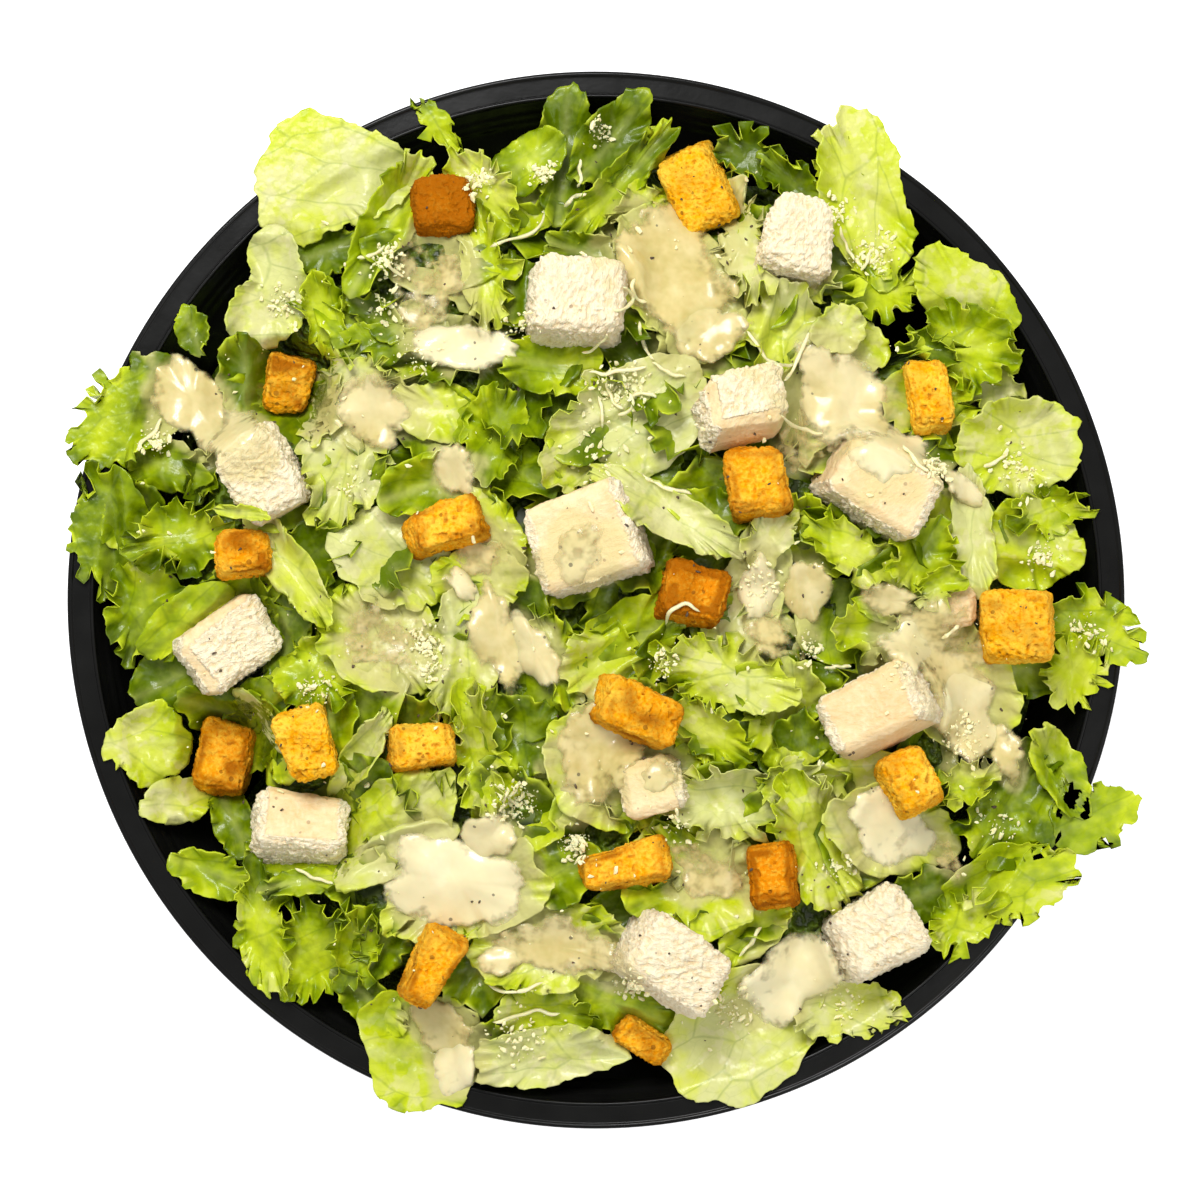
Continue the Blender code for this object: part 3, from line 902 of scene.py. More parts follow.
class Oval:
    """Something that lies on the heap: its middle, the heading of its long axis, half its length and width,
    and a shape that scales the oval in eight directions from the heading round."""

    def __init__(self, x, y, heading, long, wide, shape):
        self.x, self.y, self.heading = x, y, math.radians(heading)
        self.long, self.wide, self.shape = long, wide, shape

    def place(self, along, across):
        """Where points lie that are so far along and across it."""
        turn_cos, turn_sin = math.cos(self.heading), math.sin(self.heading)
        return self.x + along * turn_cos - across * turn_sin, self.y + along * turn_sin + across * turn_cos

    def share(self, x, y):
        """How far out from its middle each place is, where 1 is the plain oval."""
        turn_cos, turn_sin = math.cos(self.heading), math.sin(self.heading)
        along = (x - self.x) * turn_cos + (y - self.y) * turn_sin
        across = (y - self.y) * turn_cos - (x - self.x) * turn_sin
        return np.hypot(along / self.long, across / self.wide)

    def outline(self, turn):
        """The smoothest wave round a circle that passes through the eight values of the shape."""
        waves = np.fft.rfft(self.shape) / len(self.shape)
        total = np.full(len(turn), waves[0].real)
        for k in range(1, len(waves)):
            share = 1.0 if 2 * k == len(self.shape) else 2.0
            total += share * (waves[k] * np.exp(1j * k * turn)).real
        return total


def moved_out(x, y):
    """The same places, with those towards the rim moved outwards a little."""
    spread = 1.0 + EDGE_SPREAD * smooth(50.0, 100.0, np.hypot(x, y))
    return x * spread, y * spread


# ---------------------------------------------------------------- lettuce

# The ruffled side of a leaf that ruffles all round
ALL_ROUND = (0.0, 400.0)


class Kind:
    """How a kind of leaf behaves: ruffle height, how far its margin rolls up in degrees, tooth depth, how
    lobed and how torn its outline is, the height of its folds and of its blisters, how much its ribs stand
    out and how pale they are, its thickness, how stiffly it lies, and the width of its grid against the
    others'."""

    def __init__(self, ruffle, roll, teeth, lobes, torn, fold, blister, ribs, pale, thick, stiff, cells=1.0):
        self.ruffle, self.roll = ruffle, math.radians(roll)
        self.teeth, self.lobes, self.torn = teeth, lobes, torn
        self.fold, self.blister, self.ribs, self.pale = fold, blister, ribs, pale
        self.thick, self.stiff, self.cells = thick, stiff, cells


KINDS = {
    "pale": Kind(ruffle=1.3, roll=30.0, teeth=0.20, lobes=0.08, torn=1.0, fold=3.4, blister=0.34, ribs=0.45,
                 pale=0.8, thick=0.34, stiff=0.75),
    "frilly": Kind(ruffle=3.0, roll=74.0, teeth=0.30, lobes=0.09, torn=0.3, fold=3.0, blister=0.60, ribs=0.10,
                   pale=0.8, thick=0.24, stiff=0.65, cells=0.84),
    "green": Kind(ruffle=1.5, roll=38.0, teeth=0.22, lobes=0.07, torn=1.0, fold=3.4, blister=0.28, ribs=0.45,
                  pale=0.45, thick=0.36, stiff=0.75),
    "rib": Kind(ruffle=0.1, roll=12.0, teeth=0.25, lobes=0.03, torn=1.0, fold=0.2, blister=0.16, ribs=1.00,
                pale=0.8, thick=2.00, stiff=0.90),
}

# The waves along a ruffled margin: length, height, where between the middle and the margin each begins, and
# how much of it sways in and out where the margin stands up
RUFFLES = ((14.0, 0.60, 0.20, 0.15), (7.0, 0.70, 0.42, 0.70), (4.6, 0.70, 0.48, 1.0), (2.4, 0.08, 0.80, 1.0))


class Leaf(Oval):
    """One leaf: its place, its kind, and how green it is from 0, cream, to 1, deep green; a leaf that lies in
    shadow is given a deeper green, up to 1.2, as painted shade. frill is the side that ruffles, as (angle,
    half width) seen from above. cup lifts its long sides, and tilt its far end. A leaf with over=True lies on
    the chicken and croutons, and others lie round them."""

    def __init__(self, x, y, heading, long, wide, kind, green, shape=OVAL, frill=ALL_ROUND, cup=0.0, tilt=0.0,
                 over=False):
        super().__init__(x, y, heading, long, wide, shape)
        self.kind, self.green, self.frill = KINDS[kind], green, frill
        self.cup, self.tilt, self.over = cup, tilt, over


def leaf_margin(leaf, spokes, seed):
    """For each spoke: its angle, the margin's radius, the share of the way round along the margin, and how
    much the margin ruffles there; and the margin's whole length."""
    turn = spoke_angles(spokes)
    tears = leaf.kind.torn * (0.5 - 1.8 * np.abs(ring_noise(turn, 8, seed + 28)))
    uneven = ring_noise(turn, 6, seed) + 0.4 * ring_noise(turn, 15, seed + 1) + tears
    reach = leaf.outline(turn) * (1.0 + leaf.kind.lobes * uneven)
    along, across = leaf.long * reach * np.cos(turn), leaf.wide * reach * np.sin(turn)
    radius, angle = np.hypot(along, across), np.arctan2(across, along)
    step = np.hypot(np.roll(along, -1) - along, np.roll(across, -1) - across)
    length = step.sum()
    way = np.concatenate([[0.0], np.cumsum(step)[:-1]]) / length
    facing, width = leaf.frill
    away = np.abs(np.degrees(np.angle(np.exp(1j * (angle + leaf.heading - math.radians(facing))))))
    frill = (1.0 - smooth(0.75 * width, 1.15 * width, away)) * (0.8 + 0.3 * ring_noise(turn, 5, seed + 2))
    return angle, radius, way, np.clip(frill, 0.0, 1.2), length


def rolled_up(s, margin, roll):
    """How far out and how high each point comes, and the sheet's slope there. The sheet is flat up to a band
    along the margin, and there it rolls up as the arc of a circle, sin(k t) / k out and (1 - cos(k t)) / k
    up, where t is the length since the roll began and k its bend."""
    band = np.minimum(0.5 * margin, ROLL_WIDTH)
    since = np.clip(s * margin - (margin - band), 0.0, None)
    bend = roll / band
    out = np.minimum(s * margin, margin - band) + np.sin(bend * since) / bend
    return out, (1.0 - np.cos(bend * since)) / bend, bend * since


def ruffles(s, way, length, seed):
    """How far the waves along the margin move each point up, outwards and along it: sine waves of falling
    length, with noise in their phase and height, each growing from where it begins to the margin. The move
    along goes twice as fast, which broadens crests and troughs and steepens the flanks between them."""
    turn = way * 2 * math.pi
    moves = np.zeros((3, len(s)))
    for number, (width, height, start, sway) in enumerate(RUFFLES):
        count = max(2, round(length / width))
        phase = 2 * math.pi * count * way + 3.2 * ring_noise(turn, 5 + 4 * number, seed + 6 + number)
        uneven = np.clip(0.68 + 0.85 * ring_noise(turn, 7, seed + 9 + number), 0.05, 1.5)
        reach = height * uneven * smooth(start, 1.0, s) ** 1.2
        moves[0] += reach * np.sin(phase)
        moves[1] += sway * reach * np.sin(phase)
        moves[2] -= 0.42 * sway * reach * np.sin(2.0 * phase)
    return moves


def leaf_relief(leaf, flat, s, seed):
    """How far each point swells, how near it is to a crease, how blistered it is and how near a rib. Swells
    and blisters are noises of two sizes. A crease is a line where a noise drawn out along the leaf passes 0.
    The midrib is a bell curve across the leaf that ends before its tip, and the side ribs are bell curves
    that come again along it, on lines that slant outwards."""
    along, across = flat[:, 0], flat[:, 1]
    swell = noise(flat, 13.0, seed + 20) * 1.5 + noise(flat, 6.5, seed + 21) * 0.5
    drawn = noise(flat * [0.42, 1.0, 1.0], 6.8, seed + 26)
    crease = 0.85 - 2.0 * np.sqrt(drawn**2 + 0.035)
    blister = noise(flat, 2.9, seed + 22) + 0.5 * noise(flat, 1.5, seed + 23)
    midrib = np.exp(-((across / (0.07 * leaf.wide + 0.5)) ** 2)) * smooth(0.95, 0.55, along / leaf.long)
    slant = along - 0.8 * np.abs(across) + 0.8 * noise(flat, 5.0, seed + 24)
    side_rib = np.exp(-((np.abs((slant / 4.6) % 1.0 - 0.5) / 0.09) ** 2)) * smooth(1.0, 0.6, s)
    return swell, crease, blister, np.maximum(midrib, 0.55 * side_rib) * leaf.kind.ribs


def laid(leaf, x, y, lift, bed, ceiling):
    """The heights of a leaf on its bed: a blend of the bed's fine and broad forms by how stiff it is, plus
    its own lift. It stays below the chunks beside it and eases off towards a limit above the dome. It clears
    the rim where it hangs over it, and keeps inside the wall."""
    z = mix(bed[0].at(x, y), bed[1].at(x, y), leaf.kind.stiff) + lift + BED_GAP
    z = z if leaf.over else np.minimum(z, ceiling.at(x, y))
    limit = dome(x, y) + TOP_ROOM * (1.6 if leaf.over else 1.0)
    z = limit - np.logaddexp(0.0, (limit - z) * 0.8) / 0.8
    from_middle = np.hypot(x, y)
    over_rim = smooth(RIM_RADIUS - 9.0, RIM_RADIUS - 5.5, from_middle)
    z = mix(z, np.maximum(z, RIM_HEIGHT + RIM_GAP), over_rim)
    return np.maximum(z, wall_height(from_middle) + WALL_GAP)


def leaf_sheet(leaf, bed, ceiling, seed, spacing, cover=None, wash=None):
    """A leaf as (points, faces, tone, flat place, upper side).

    A point is at a share s of the way from the leaf's middle to its margin, on a spoke. It starts flat, at s
    times the margin's radius with its teeth. The margin rolls up, and the ruffles move it. Relief, a raised
    side, the cup and the tilt add to its height, less where pools or later leaves lie over it, and it is laid
    on the bed below."""
    kind = leaf.kind
    spacing = spacing * kind.cells
    girth = 2 * math.pi * math.hypot(leaf.long, leaf.wide) / math.sqrt(2.0)
    spokes = int(np.clip(girth / spacing, 24, 340))
    rings = int(np.clip(math.sqrt(leaf.long * leaf.wide) / (1.1 * spacing), 6, 24))
    angle, radius, way, frill, length = leaf_margin(leaf, spokes, seed)
    s, around = disc_grid(rings, spokes, 1.3)
    angle, radius, way, frill = angle[around], radius[around], way[around], frill[around]
    turn = way * 2 * math.pi
    lobe = np.sqrt(ring_noise(turn, length / 2.6, seed + 3) ** 2 + 0.02) - 0.35
    teeth = kind.teeth * (1.6 * lobe + 0.45 * ring_noise(turn, length / 1.2, seed + 4))
    roll = np.clip(kind.roll * frill * (1.0 + 0.5 * ring_noise(turn, 4, seed + 5)), 0.02, 1.9)
    out, rise, slope = rolled_up(s, radius + teeth * smooth(0.75, 1.0, s), roll)
    push, sway, slip = ruffles(s, way, length, seed) * frill * kind.ruffle
    out = out - np.sin(slope) * sway
    along, across = turned(out, slip, angle)

    flat = np.stack([along, across, np.full_like(s, 31.0 * seed)], 1)
    swell, crease, blister, rib = leaf_relief(leaf, flat, s, seed)
    lift = rise + mix(np.cos(slope), 1.0, 0.4) * push
    lift = lift + 2.0 * smooth(0.45, 1.0, s) * np.clip(0.55 + 0.8 * ring_noise(turn, 3, seed + 27), 0.0, 1.3)
    lift = lift + swell + kind.fold * crease + kind.blister * blister * (1.0 - 0.4 * s) + 0.5 * rib
    lift = lift + leaf.cup * (across / leaf.wide) ** 2 + leaf.tilt * along / leaf.long
    x, y = leaf.place(along, across)
    washed = np.zeros_like(x) if wash is None else wash.at(x, y)
    x, y = moved_out(x, y)
    if cover is not None:
        lift = lift * mix(1.0, 0.16, cover.at(x, y))
    top = np.stack([x, y, laid(leaf, x, y, lift, bed, ceiling)], 1)
    points, faces = shell_of(top, rings, spokes, kind.thick * mix(1.0, 0.6, smooth(0.6, 1.0, s)))

    # Painted light in the tone: the margin colour is stronger on ruffle crests and in a thin band along every
    # margin, which is painted highlight. Crests, swells and crease ridges lighten the green and troughs
    # deepen it, which is painted light and shade. The rest is the leaf's own green.
    crest = np.clip(push / 1.5, -1.0, 1.0)
    edge = frill * smooth(0.45, 1.0, s) * (0.6 + 0.5 * crest) + 0.12 * smooth(0.9, 1.0, s)
    grade = 0.22 * scatter(np.array([[seed, 1, 1]]), 2)[0] * along / leaf.long
    green_and_shade = leaf.green + grade + 0.17 * noise(flat, 8.0, seed + 25)
    green_and_shade = green_and_shade - 0.20 * crest - 0.08 * swell - 0.10 * crease
    tone = np.stack([np.clip(edge, 0.0, 1.0), rib * kind.pale, green_and_shade, washed], 1)
    place = np.stack([along, across], 1) / 10.0 + 7.3 * (seed % 97)
    return points, faces, np.concatenate([tone, tone]), np.concatenate([place, place]), top


# The leaves that show, lowest first
LEAVES = [
    # back left, over the rim
    Leaf(-41, 53, -40, 7, 3.5, "green", 1.05),
    Leaf(-40, 46, 0, 11, 6, "green", 0.80),
    Leaf(-75, 50, 110, 5, 3, "green", 0.87),
    Leaf(-50, 65, 20, 7, 5, "green", 1.20),
    Leaf(-50, 78, 0, 14, 12.5, "pale", 0.22, (1.1, 0.97, 1.05, 1.0, 0.92, 1.05, 0.92, 0.78), cup=1.5),
    Leaf(-38.5, 70, 62, 16, 4.8, "pale", 0.74, cup=1.8),
    Leaf(-60.5, 58.5, 0, 9, 11, "pale", 0.13, (0.8, 0.92, 1.05, 0.6, 0.55, 1.2, 1.0, 0.85)),
    # left, over the rim
    Leaf(-80, 25, -15, 9, 5, "green", 0.88),
    Leaf(-86, 34.5, 15, 12.5, 9.5, "frilly", 0.94, (0.7, 1.2, 1.05, 0.9, 0.95, 1.25, 0.85, 0.8), (180, 120)),
    Leaf(-73, 24, 80, 5.5, 3.2, "frilly", 1.04),
    Leaf(-86, 15, 60, 7, 6, "green", 0.95),
    Leaf(-65, 1, 10, 10, 5.5, "green", 0.58),
    Leaf(-90.5, 12, 90, 13.5, 7.5, "frilly", 0.87, (1.0, 1.05, 1.0, 0.9, 1.0, 1.0, 1.0, 1.0), (180, 100)),
    Leaf(-84.5, -1, 80, 10.5, 6.8, "frilly", 0.79),
    Leaf(-77, 12, 20, 8.8, 7.5, "frilly", 0.72),
    Leaf(-76, -4, 38, 10.5, 5, "frilly", 0.71, frill=(-50, 80)),
    # front left
    # painted shade: this leaf lies in shadow, and its deep green stands for it
    Leaf(-80, -15, 30, 7, 6, "green", 1.20),
    Leaf(-71, -21, -20, 8, 5, "green", 1.06),
    Leaf(-83, -26.5, 0, 7.5, 8, "pale", 0.45, (0.95, 1.0, 0.95, 0.85, 1.1, 1.0, 1.0, 1.0), cup=-2.0),
    Leaf(-78, -37.5, 10, 6.8, 4.6, "pale", 0.34, cup=-1.0),
    Leaf(-68, -42, -60, 7, 4, "green", 1.20),
    Leaf(-71.5, -51, -22, 8.5, 4.2, "green", 0.69),
    Leaf(-57, -48, 0, 9, 5, "green", 0.80),
    Leaf(-40, -64, 60, 7, 5.5, "green", 1.20),
    Leaf(-53, -65, 20, 9.5, 9.8, "frilly", 0.62),
    Leaf(-62, -60.5, 100, 13, 5, "frilly", 0.65, (1.05, 0.9, 1.0, 1.0, 1.1, 1.1, 1.0, 0.9)),
    Leaf(-44.5, -65, 80, 8.5, 4.6, "frilly", 0.73),
    Leaf(-55, -52.5, 8, 8, 2.2, "pale", 0.66),
    Leaf(-42, -75, -40, 9, 4, "pale", 0.80),
    Leaf(-33, -84, 0, 12.5, 11.5, "pale", 0.48, (0.95, 1.0, 0.95, 1.1, 0.75, 0.95, 0.98, 1.05), (260, 80)),
    # front
    Leaf(3, -75, -20, 14, 6.5, "green", 0.83),
    Leaf(-20, -83, 80, 5, 4, "green", 0.9),
    Leaf(-10, -76.5, 0, 10, 4.6, "frilly", 0.49),
    Leaf(-9, -84.5, 2, 14.5, 6, "pale", 0.01, (1.05, 0.95, 0.95, 1.0, 1.0, 1.1, 0.95, 0.9)),
    Leaf(29, -62, 40, 9, 4.5, "green", 0.58),
    Leaf(27.5, -79, 35, 17, 12, "pale", 0.14, (0.95, 0.9, 0.9, 0.95, 1.0, 1.05, 1.05, 1.0), (270, 60)),
    Leaf(46.5, -76, -4, 11, 6, "frilly", 0.14, (1.05, 1.0, 0.9, 0.9, 0.95, 1.1, 0.9, 0.8), (-60, 110)),
    Leaf(-9, -64.5, 5, 15.5, 8, "pale", 0.38),
    Leaf(18, -52, 0, 13.5, 11.5, "pale", 0.58),
    # middle, front left
    Leaf(-8, -51, 20, 10.5, 6, "green", 0.82),
    Leaf(-13, -38.5, 30, 11.5, 8.5, "green", 0.50),
    Leaf(-37, -42, 42, 14.5, 8.5, "pale", 0.47),
    Leaf(-25, -54.5, 22, 18, 9, "pale", 0.20, (0.9, 1.0, 0.9, 0.9, 0.95, 0.9, 1.05, 1.1)),
    Leaf(-37.5, -47.5, 22, 12.5, 4.2, "rib", 0.03),
    Leaf(-61, -26, -60, 10, 5, "green", 0.71),
    Leaf(-50, -23, 80, 8, 6, "green", 0.74),
    Leaf(-63, -22.5, -50, 7.5, 2.4, "pale", 0.00),
    Leaf(-44, -29, 56, 11, 3.2, "pale", 0.17, cup=1.5),
    Leaf(-58, -7, 90, 9, 5.5, "green", 1.17),
    Leaf(-53, -13, 0, 8.2, 7.5, "frilly", 0.71),
    Leaf(-40, -7, -25, 13, 10, "pale", 0.36),
    Leaf(-38, 8, -20, 12.5, 9, "pale", 0.00, frill=(-60, 90), cup=1.5),
    Leaf(-57, 6.5, -55, 14.5, 4.2, "pale", 0.29, cup=1.8),
    Leaf(-46, 26.5, 70, 11.5, 9, "frilly", 0.00, (1.0, 0.9, 1.0, 1.0, 1.15, 1.0, 0.95, 0.9)),
    # middle, left of centre
    Leaf(-65.5, 41, 90, 9, 5, "green", 0.93, cup=3.0),
    Leaf(-44, 41.5, 0, 8, 4, "frilly", 0.14),
    Leaf(-52, 37, 90, 8, 4.6, "frilly", 0.00),
    Leaf(-50.5, 52.5, 105, 9, 4.6, "frilly", 0.60),
    Leaf(-30, 22, 20, 11, 6, "pale", 0.81),
    Leaf(-29, 35, -10, 9.5, 5.8, "pale", 0.47),
    Leaf(-19, 13, -60, 9.5, 5, "pale", 0.52),
    Leaf(-19, 31, 80, 10.5, 6.6, "frilly", 0.89),
    Leaf(-22, 4, 0, 9, 7, "pale", 0.42),
    Leaf(-13, -25, -30, 10, 7, "green", 1.18),
    Leaf(-25, -11, 85, 14, 7, "frilly", 0.04, frill=(200, 100)),
    Leaf(-22, -28, -80, 13, 4.6, "frilly", 0.32),
    Leaf(-7, -11, -70, 11, 4.2, "frilly", 0.72),
    # back
    Leaf(-14, 76, 10, 10, 8, "green", 0.33),
    Leaf(-16, 58, 90, 7, 6.5, "green", 1.20),
    Leaf(7, 71, 30, 8, 5, "green", 0.9),
    Leaf(-6, 83, 86, 13.5, 5.6, "green", 0.97, cup=2.0),
    Leaf(2.5, 85, 52, 10.5, 5.6, "green", 1.07, (1.1, 1.0, 0.9, 1.0, 1.0, 1.0, 0.9, 1.0), cup=1.5),
    Leaf(-13, 81, 35, 8.5, 5, "green", 0.88),
    Leaf(4, 77, 47, 16.5, 3.4, "green", 0.89, cup=2.6),
    Leaf(-29.5, 88, -52, 7.5, 2.3, "frilly", 0.73),
    Leaf(-21, 76, -50, 8.8, 5.6, "frilly", 0.48),
    Leaf(-21, 62, -82, 13.5, 4.4, "frilly", 0.36),
    Leaf(-1, 64.5, -12, 9, 4, "pale", 1.01),
    Leaf(-8, 44, -5, 10, 6, "green", 0.69),
    Leaf(10, 73, -10, 7, 4.2, "frilly", 0.45),
    Leaf(15, 60.5, -52, 15, 10, "pale", 0.42),
    Leaf(21, 50, 20, 8.5, 5.5, "pale", 0.46),
    Leaf(28, 82.5, -20, 6.5, 5.2, "frilly", 1.02),
    Leaf(37, 77, -42, 8.5, 4.2, "frilly", 0.97),
    # back right
    Leaf(44, 62, -30, 9, 5, "green", 0.96),
    Leaf(46, 47, 0, 9, 6, "green", 0.62),
    Leaf(53, 57, 12, 9.5, 4.8, "frilly", 0.77),
    Leaf(38, 58, 10, 7, 4.2, "frilly", 0.25),
    Leaf(34.5, 51, 70, 9.5, 7, "frilly", 0.39),
    Leaf(45, 50, 30, 5.5, 4.6, "pale", 0.15),
    Leaf(27.5, 66, -78, 12.5, 5, "frilly", 0.02),
    Leaf(44.5, 82, 110, 6, 3.6, "frilly", 0.30),
    Leaf(50, 75, 102, 15.5, 8.8, "pale", 0.36, (1.0, 1.05, 0.9, 0.95, 1.1, 1.05, 0.85, 1.0), cup=2.0,
         tilt=1.5),
    Leaf(64, 30, 60, 8, 5.5, "green", 1.13),
    Leaf(68.5, 57, -38, 11.5, 6.8, "pale", 0.48, cup=-1.5),
    Leaf(74, 47, -78, 7.5, 4.6, "green", 0.5),
    Leaf(74, 39, -70, 7.5, 5, "frilly", 0.00),
    Leaf(68, 47, -10, 10, 7.5, "frilly", 0.66),
    # right
    Leaf(64, 12, 80, 9, 6, "green", 0.56),
    Leaf(78, 28, -5, 12.2, 9.6, "pale", 0.34, (1.0, 1.1, 1.0, 0.95, 0.95, 0.9, 0.95, 1.0)),
    Leaf(80.5, 10.5, -15, 10, 9, "pale", 0.51, (1.0, 1.0, 1.0, 1.0, 0.9, 1.0, 1.0, 1.0), cup=-1.0),
    Leaf(84.5, 16.5, 0, 7.5, 4.2, "frilly", 0.50),
    Leaf(70, 12.5, 97, 12.8, 4, "pale", 0.00),
    Leaf(40, 12, -40, 10, 6, "green", 0.53),
    Leaf(48, 9, -32, 11.5, 5.2, "frilly", 0.57),
    Leaf(60.5, 8.5, 60, 8, 6.6, "frilly", 0.68),
    Leaf(51, -6, -10, 7.2, 6.2, "frilly", 0.70),
    Leaf(81, -13, 0, 8, 5, "green", 0.92),
    Leaf(92, -5.5, -25, 11, 6, "frilly", 0.69, (1.0, 1.0, 1.05, 1.0, 1.0, 0.9, 0.9, 1.0)),
    Leaf(89, -13.5, 60, 7.2, 6, "frilly", 0.33),
    # centre and right of centre
    Leaf(9, 8, 60, 7, 5.5, "green", 0.92),
    Leaf(22, 15, -20, 9, 6, "green", 0.95),
    Leaf(5, 33, 28, 18.5, 11, "frilly", 0.00, (1.0, 0.95, 0.9, 0.95, 0.95, 1.05, 1.0, 1.0), (190, 100)),
    Leaf(14, 16, -28, 16, 4.4, "pale", 0.00, cup=1.4, over=True),
    Leaf(5, -9, 30, 13, 8.5, "pale", 0.56),
    Leaf(4, -30, 0, 14, 12.5, "pale", 0.52),
    Leaf(36, -22, 82, 11, 8.4, "green", 0.32),
    Leaf(27, -1, 70, 19.5, 7, "pale", 0.00, (1.05, 0.9, 0.9, 0.95, 1.0, 1.0, 1.1, 1.0)),
    Leaf(32, 12, 60, 7, 4.6, "frilly", 0.11),
    Leaf(24, -14, -15, 13.5, 7, "frilly", 0.40),
    Leaf(20.5, -24.5, -30, 9.8, 6, "frilly", 0.50),
    Leaf(24, -37.5, 0, 12.5, 7, "frilly", 0.00),
    Leaf(50, -34, 10, 13, 6, "green", 0.45),
    Leaf(36, -34, 20, 6, 4.6, "frilly", 0.10),
    Leaf(41, -45, -70, 15, 7.6, "frilly", 0.38),
    # front right, over the rim
    Leaf(67, -15, -60, 16, 10, "pale", 0.42),
    Leaf(55, -43, -20, 13, 8.5, "pale", 0.42),
    Leaf(61, -55, 20, 8, 5, "green", 1.20),
    Leaf(77, -39, 60, 12.5, 10, "frilly", 0.91),
    Leaf(92, -40.5, 25, 9.5, 6.2, "frilly", 0.71, (1.0, 1.0, 1.0, 1.0, 0.8, 1.0, 1.0, 1.0), (10, 110)),
    Leaf(77, -52.5, 18, 13.5, 7, "frilly", 0.54, frill=(-20, 120)),
    Leaf(68, -59.5, 42, 8.4, 4.6, "frilly", 0.49),
    Leaf(86, -31.5, -62, 9.8, 4.4, "pale", 0.61),
    Leaf(69, -34, 30, 6, 4.2, "frilly", 0.49),
    # on top of the croutons and chicken
    Leaf(63.5, 2.5, 30, 5.5, 3.6, "frilly", 0.57, over=True),
    Leaf(-65, 16, -8, 5.8, 1.3, "pale", 0.47, over=True),
    Leaf(62, 46.5, -20, 6.5, 3.4, "frilly", 0.76, over=True),
]


def filler_leaves(count):
    """Darker leaves under those that show, whose deep green is partly painted shade in the gaps between the
    upper leaves: spots on a spiral whose turns each advance by the golden angle, pulled in where the heap
    reaches less far."""
    limits = heap_reach(np.arange(count) * GOLDEN_TURN)
    leaves = []
    for k in range(count):
        turn = k * GOLDEN_TURN
        spin = scatter(np.array([[k, 5, 9]]), 3)[0]
        # a green near 1, the deepest, is partly painted shade
        green = 1.0 + 0.12 * scatter(np.array([[k, 2, 4]]), 8)[0]
        radius = 0.97 * math.sqrt((k + 0.5) / count) * (min(limits[k], RIM_RADIUS - 14.0) - 12.0)
        heading = math.degrees(turn) + 100.0 * spin
        kind = ("frilly", "green", "frilly")[k % 3]
        leaves.append(Leaf(radius * math.cos(turn), radius * math.sin(turn), heading, 11.0 + 3.0 * spin,
                           7.5 - 1.5 * spin, kind, green))
    return leaves


def chunk_room(cell, chunks):
    """A map of how high a leaf may lie: under the shoulders of a chunk where one stands, and rising by a
    steep slope away from its sides. The second map holds the tops of the chunks."""
    ceiling, tops = HeightMap(cell), HeightMap(cell)
    ceiling.z += 1000.0
    for chunk in chunks:
        shoulder = mix(chunk.low, chunk.high, SHOULDER)
        level = np.full_like(ceiling.x, mix(chunk.low, chunk.high, 0.6))
        away = chunk.outside(ceiling.x, ceiling.y, level)
        ceiling.z = np.minimum(ceiling.z, shoulder + 2.2 * np.clip(away + 0.2, 0.0, None))
        tops.z = np.where(away < 0.5, np.maximum(tops.z, chunk.high - 1.0), tops.z)
    return ceiling, tops


def later_cover(leaves, first_seed, spacing, cell):
    """For each leaf a map of where the pools and the leaves after it lie over it, from 0 to 1, with soft
    borders."""
    level = HeightMap(cell)
    level.z += 1000.0
    covers, total = [], np.zeros_like(level.z)
    for pool in POOLS:
        total = np.maximum(total, 0.8 * (pool.share(level.x, level.y) < 1.0))
    for number in reversed(range(len(leaves))):
        covers.append(HeightMap(cell, total).blurred(1.3))
        top = leaf_sheet(leaves[number], (level, level), level, first_seed + 13 * number, spacing)[-1]
        mark = HeightMap(cell)
        mark.raise_to(top[:, 0], top[:, 1], np.ones(len(top)))
        total = np.maximum(total, mark.z)
    return covers[::-1]


def lay_leaves(leaves, stack, ceiling, tops, first_seed, spacing):
    """Lays each leaf on what lies below it, and raises the stack's map to its upper side. The bed that a leaf
    follows is the stack swollen a little and then blurred, once finely and once broadly. Where later leaves
    lie over a leaf its relief is pressed flat."""
    sheets = []
    wash = dressing_wash()
    covers = later_cover(leaves, first_seed, spacing, stack.cell)
    for number, (leaf, cover) in enumerate(zip(leaves, covers)):
        below = HeightMap(stack.cell, np.maximum(stack.z, tops.z)) if leaf.over else stack
        swollen = below.swollen(1.0)
        bed = (swollen.blurred(2.2), swollen.blurred(5.0))
        seed = first_seed + 13 * number
        points, faces, tone, flat, top = leaf_sheet(leaf, bed, ceiling, seed, spacing, cover, wash)
        stack.raise_to(*top.T)
        sheets.append((points, faces, tone, flat))
    return sheets


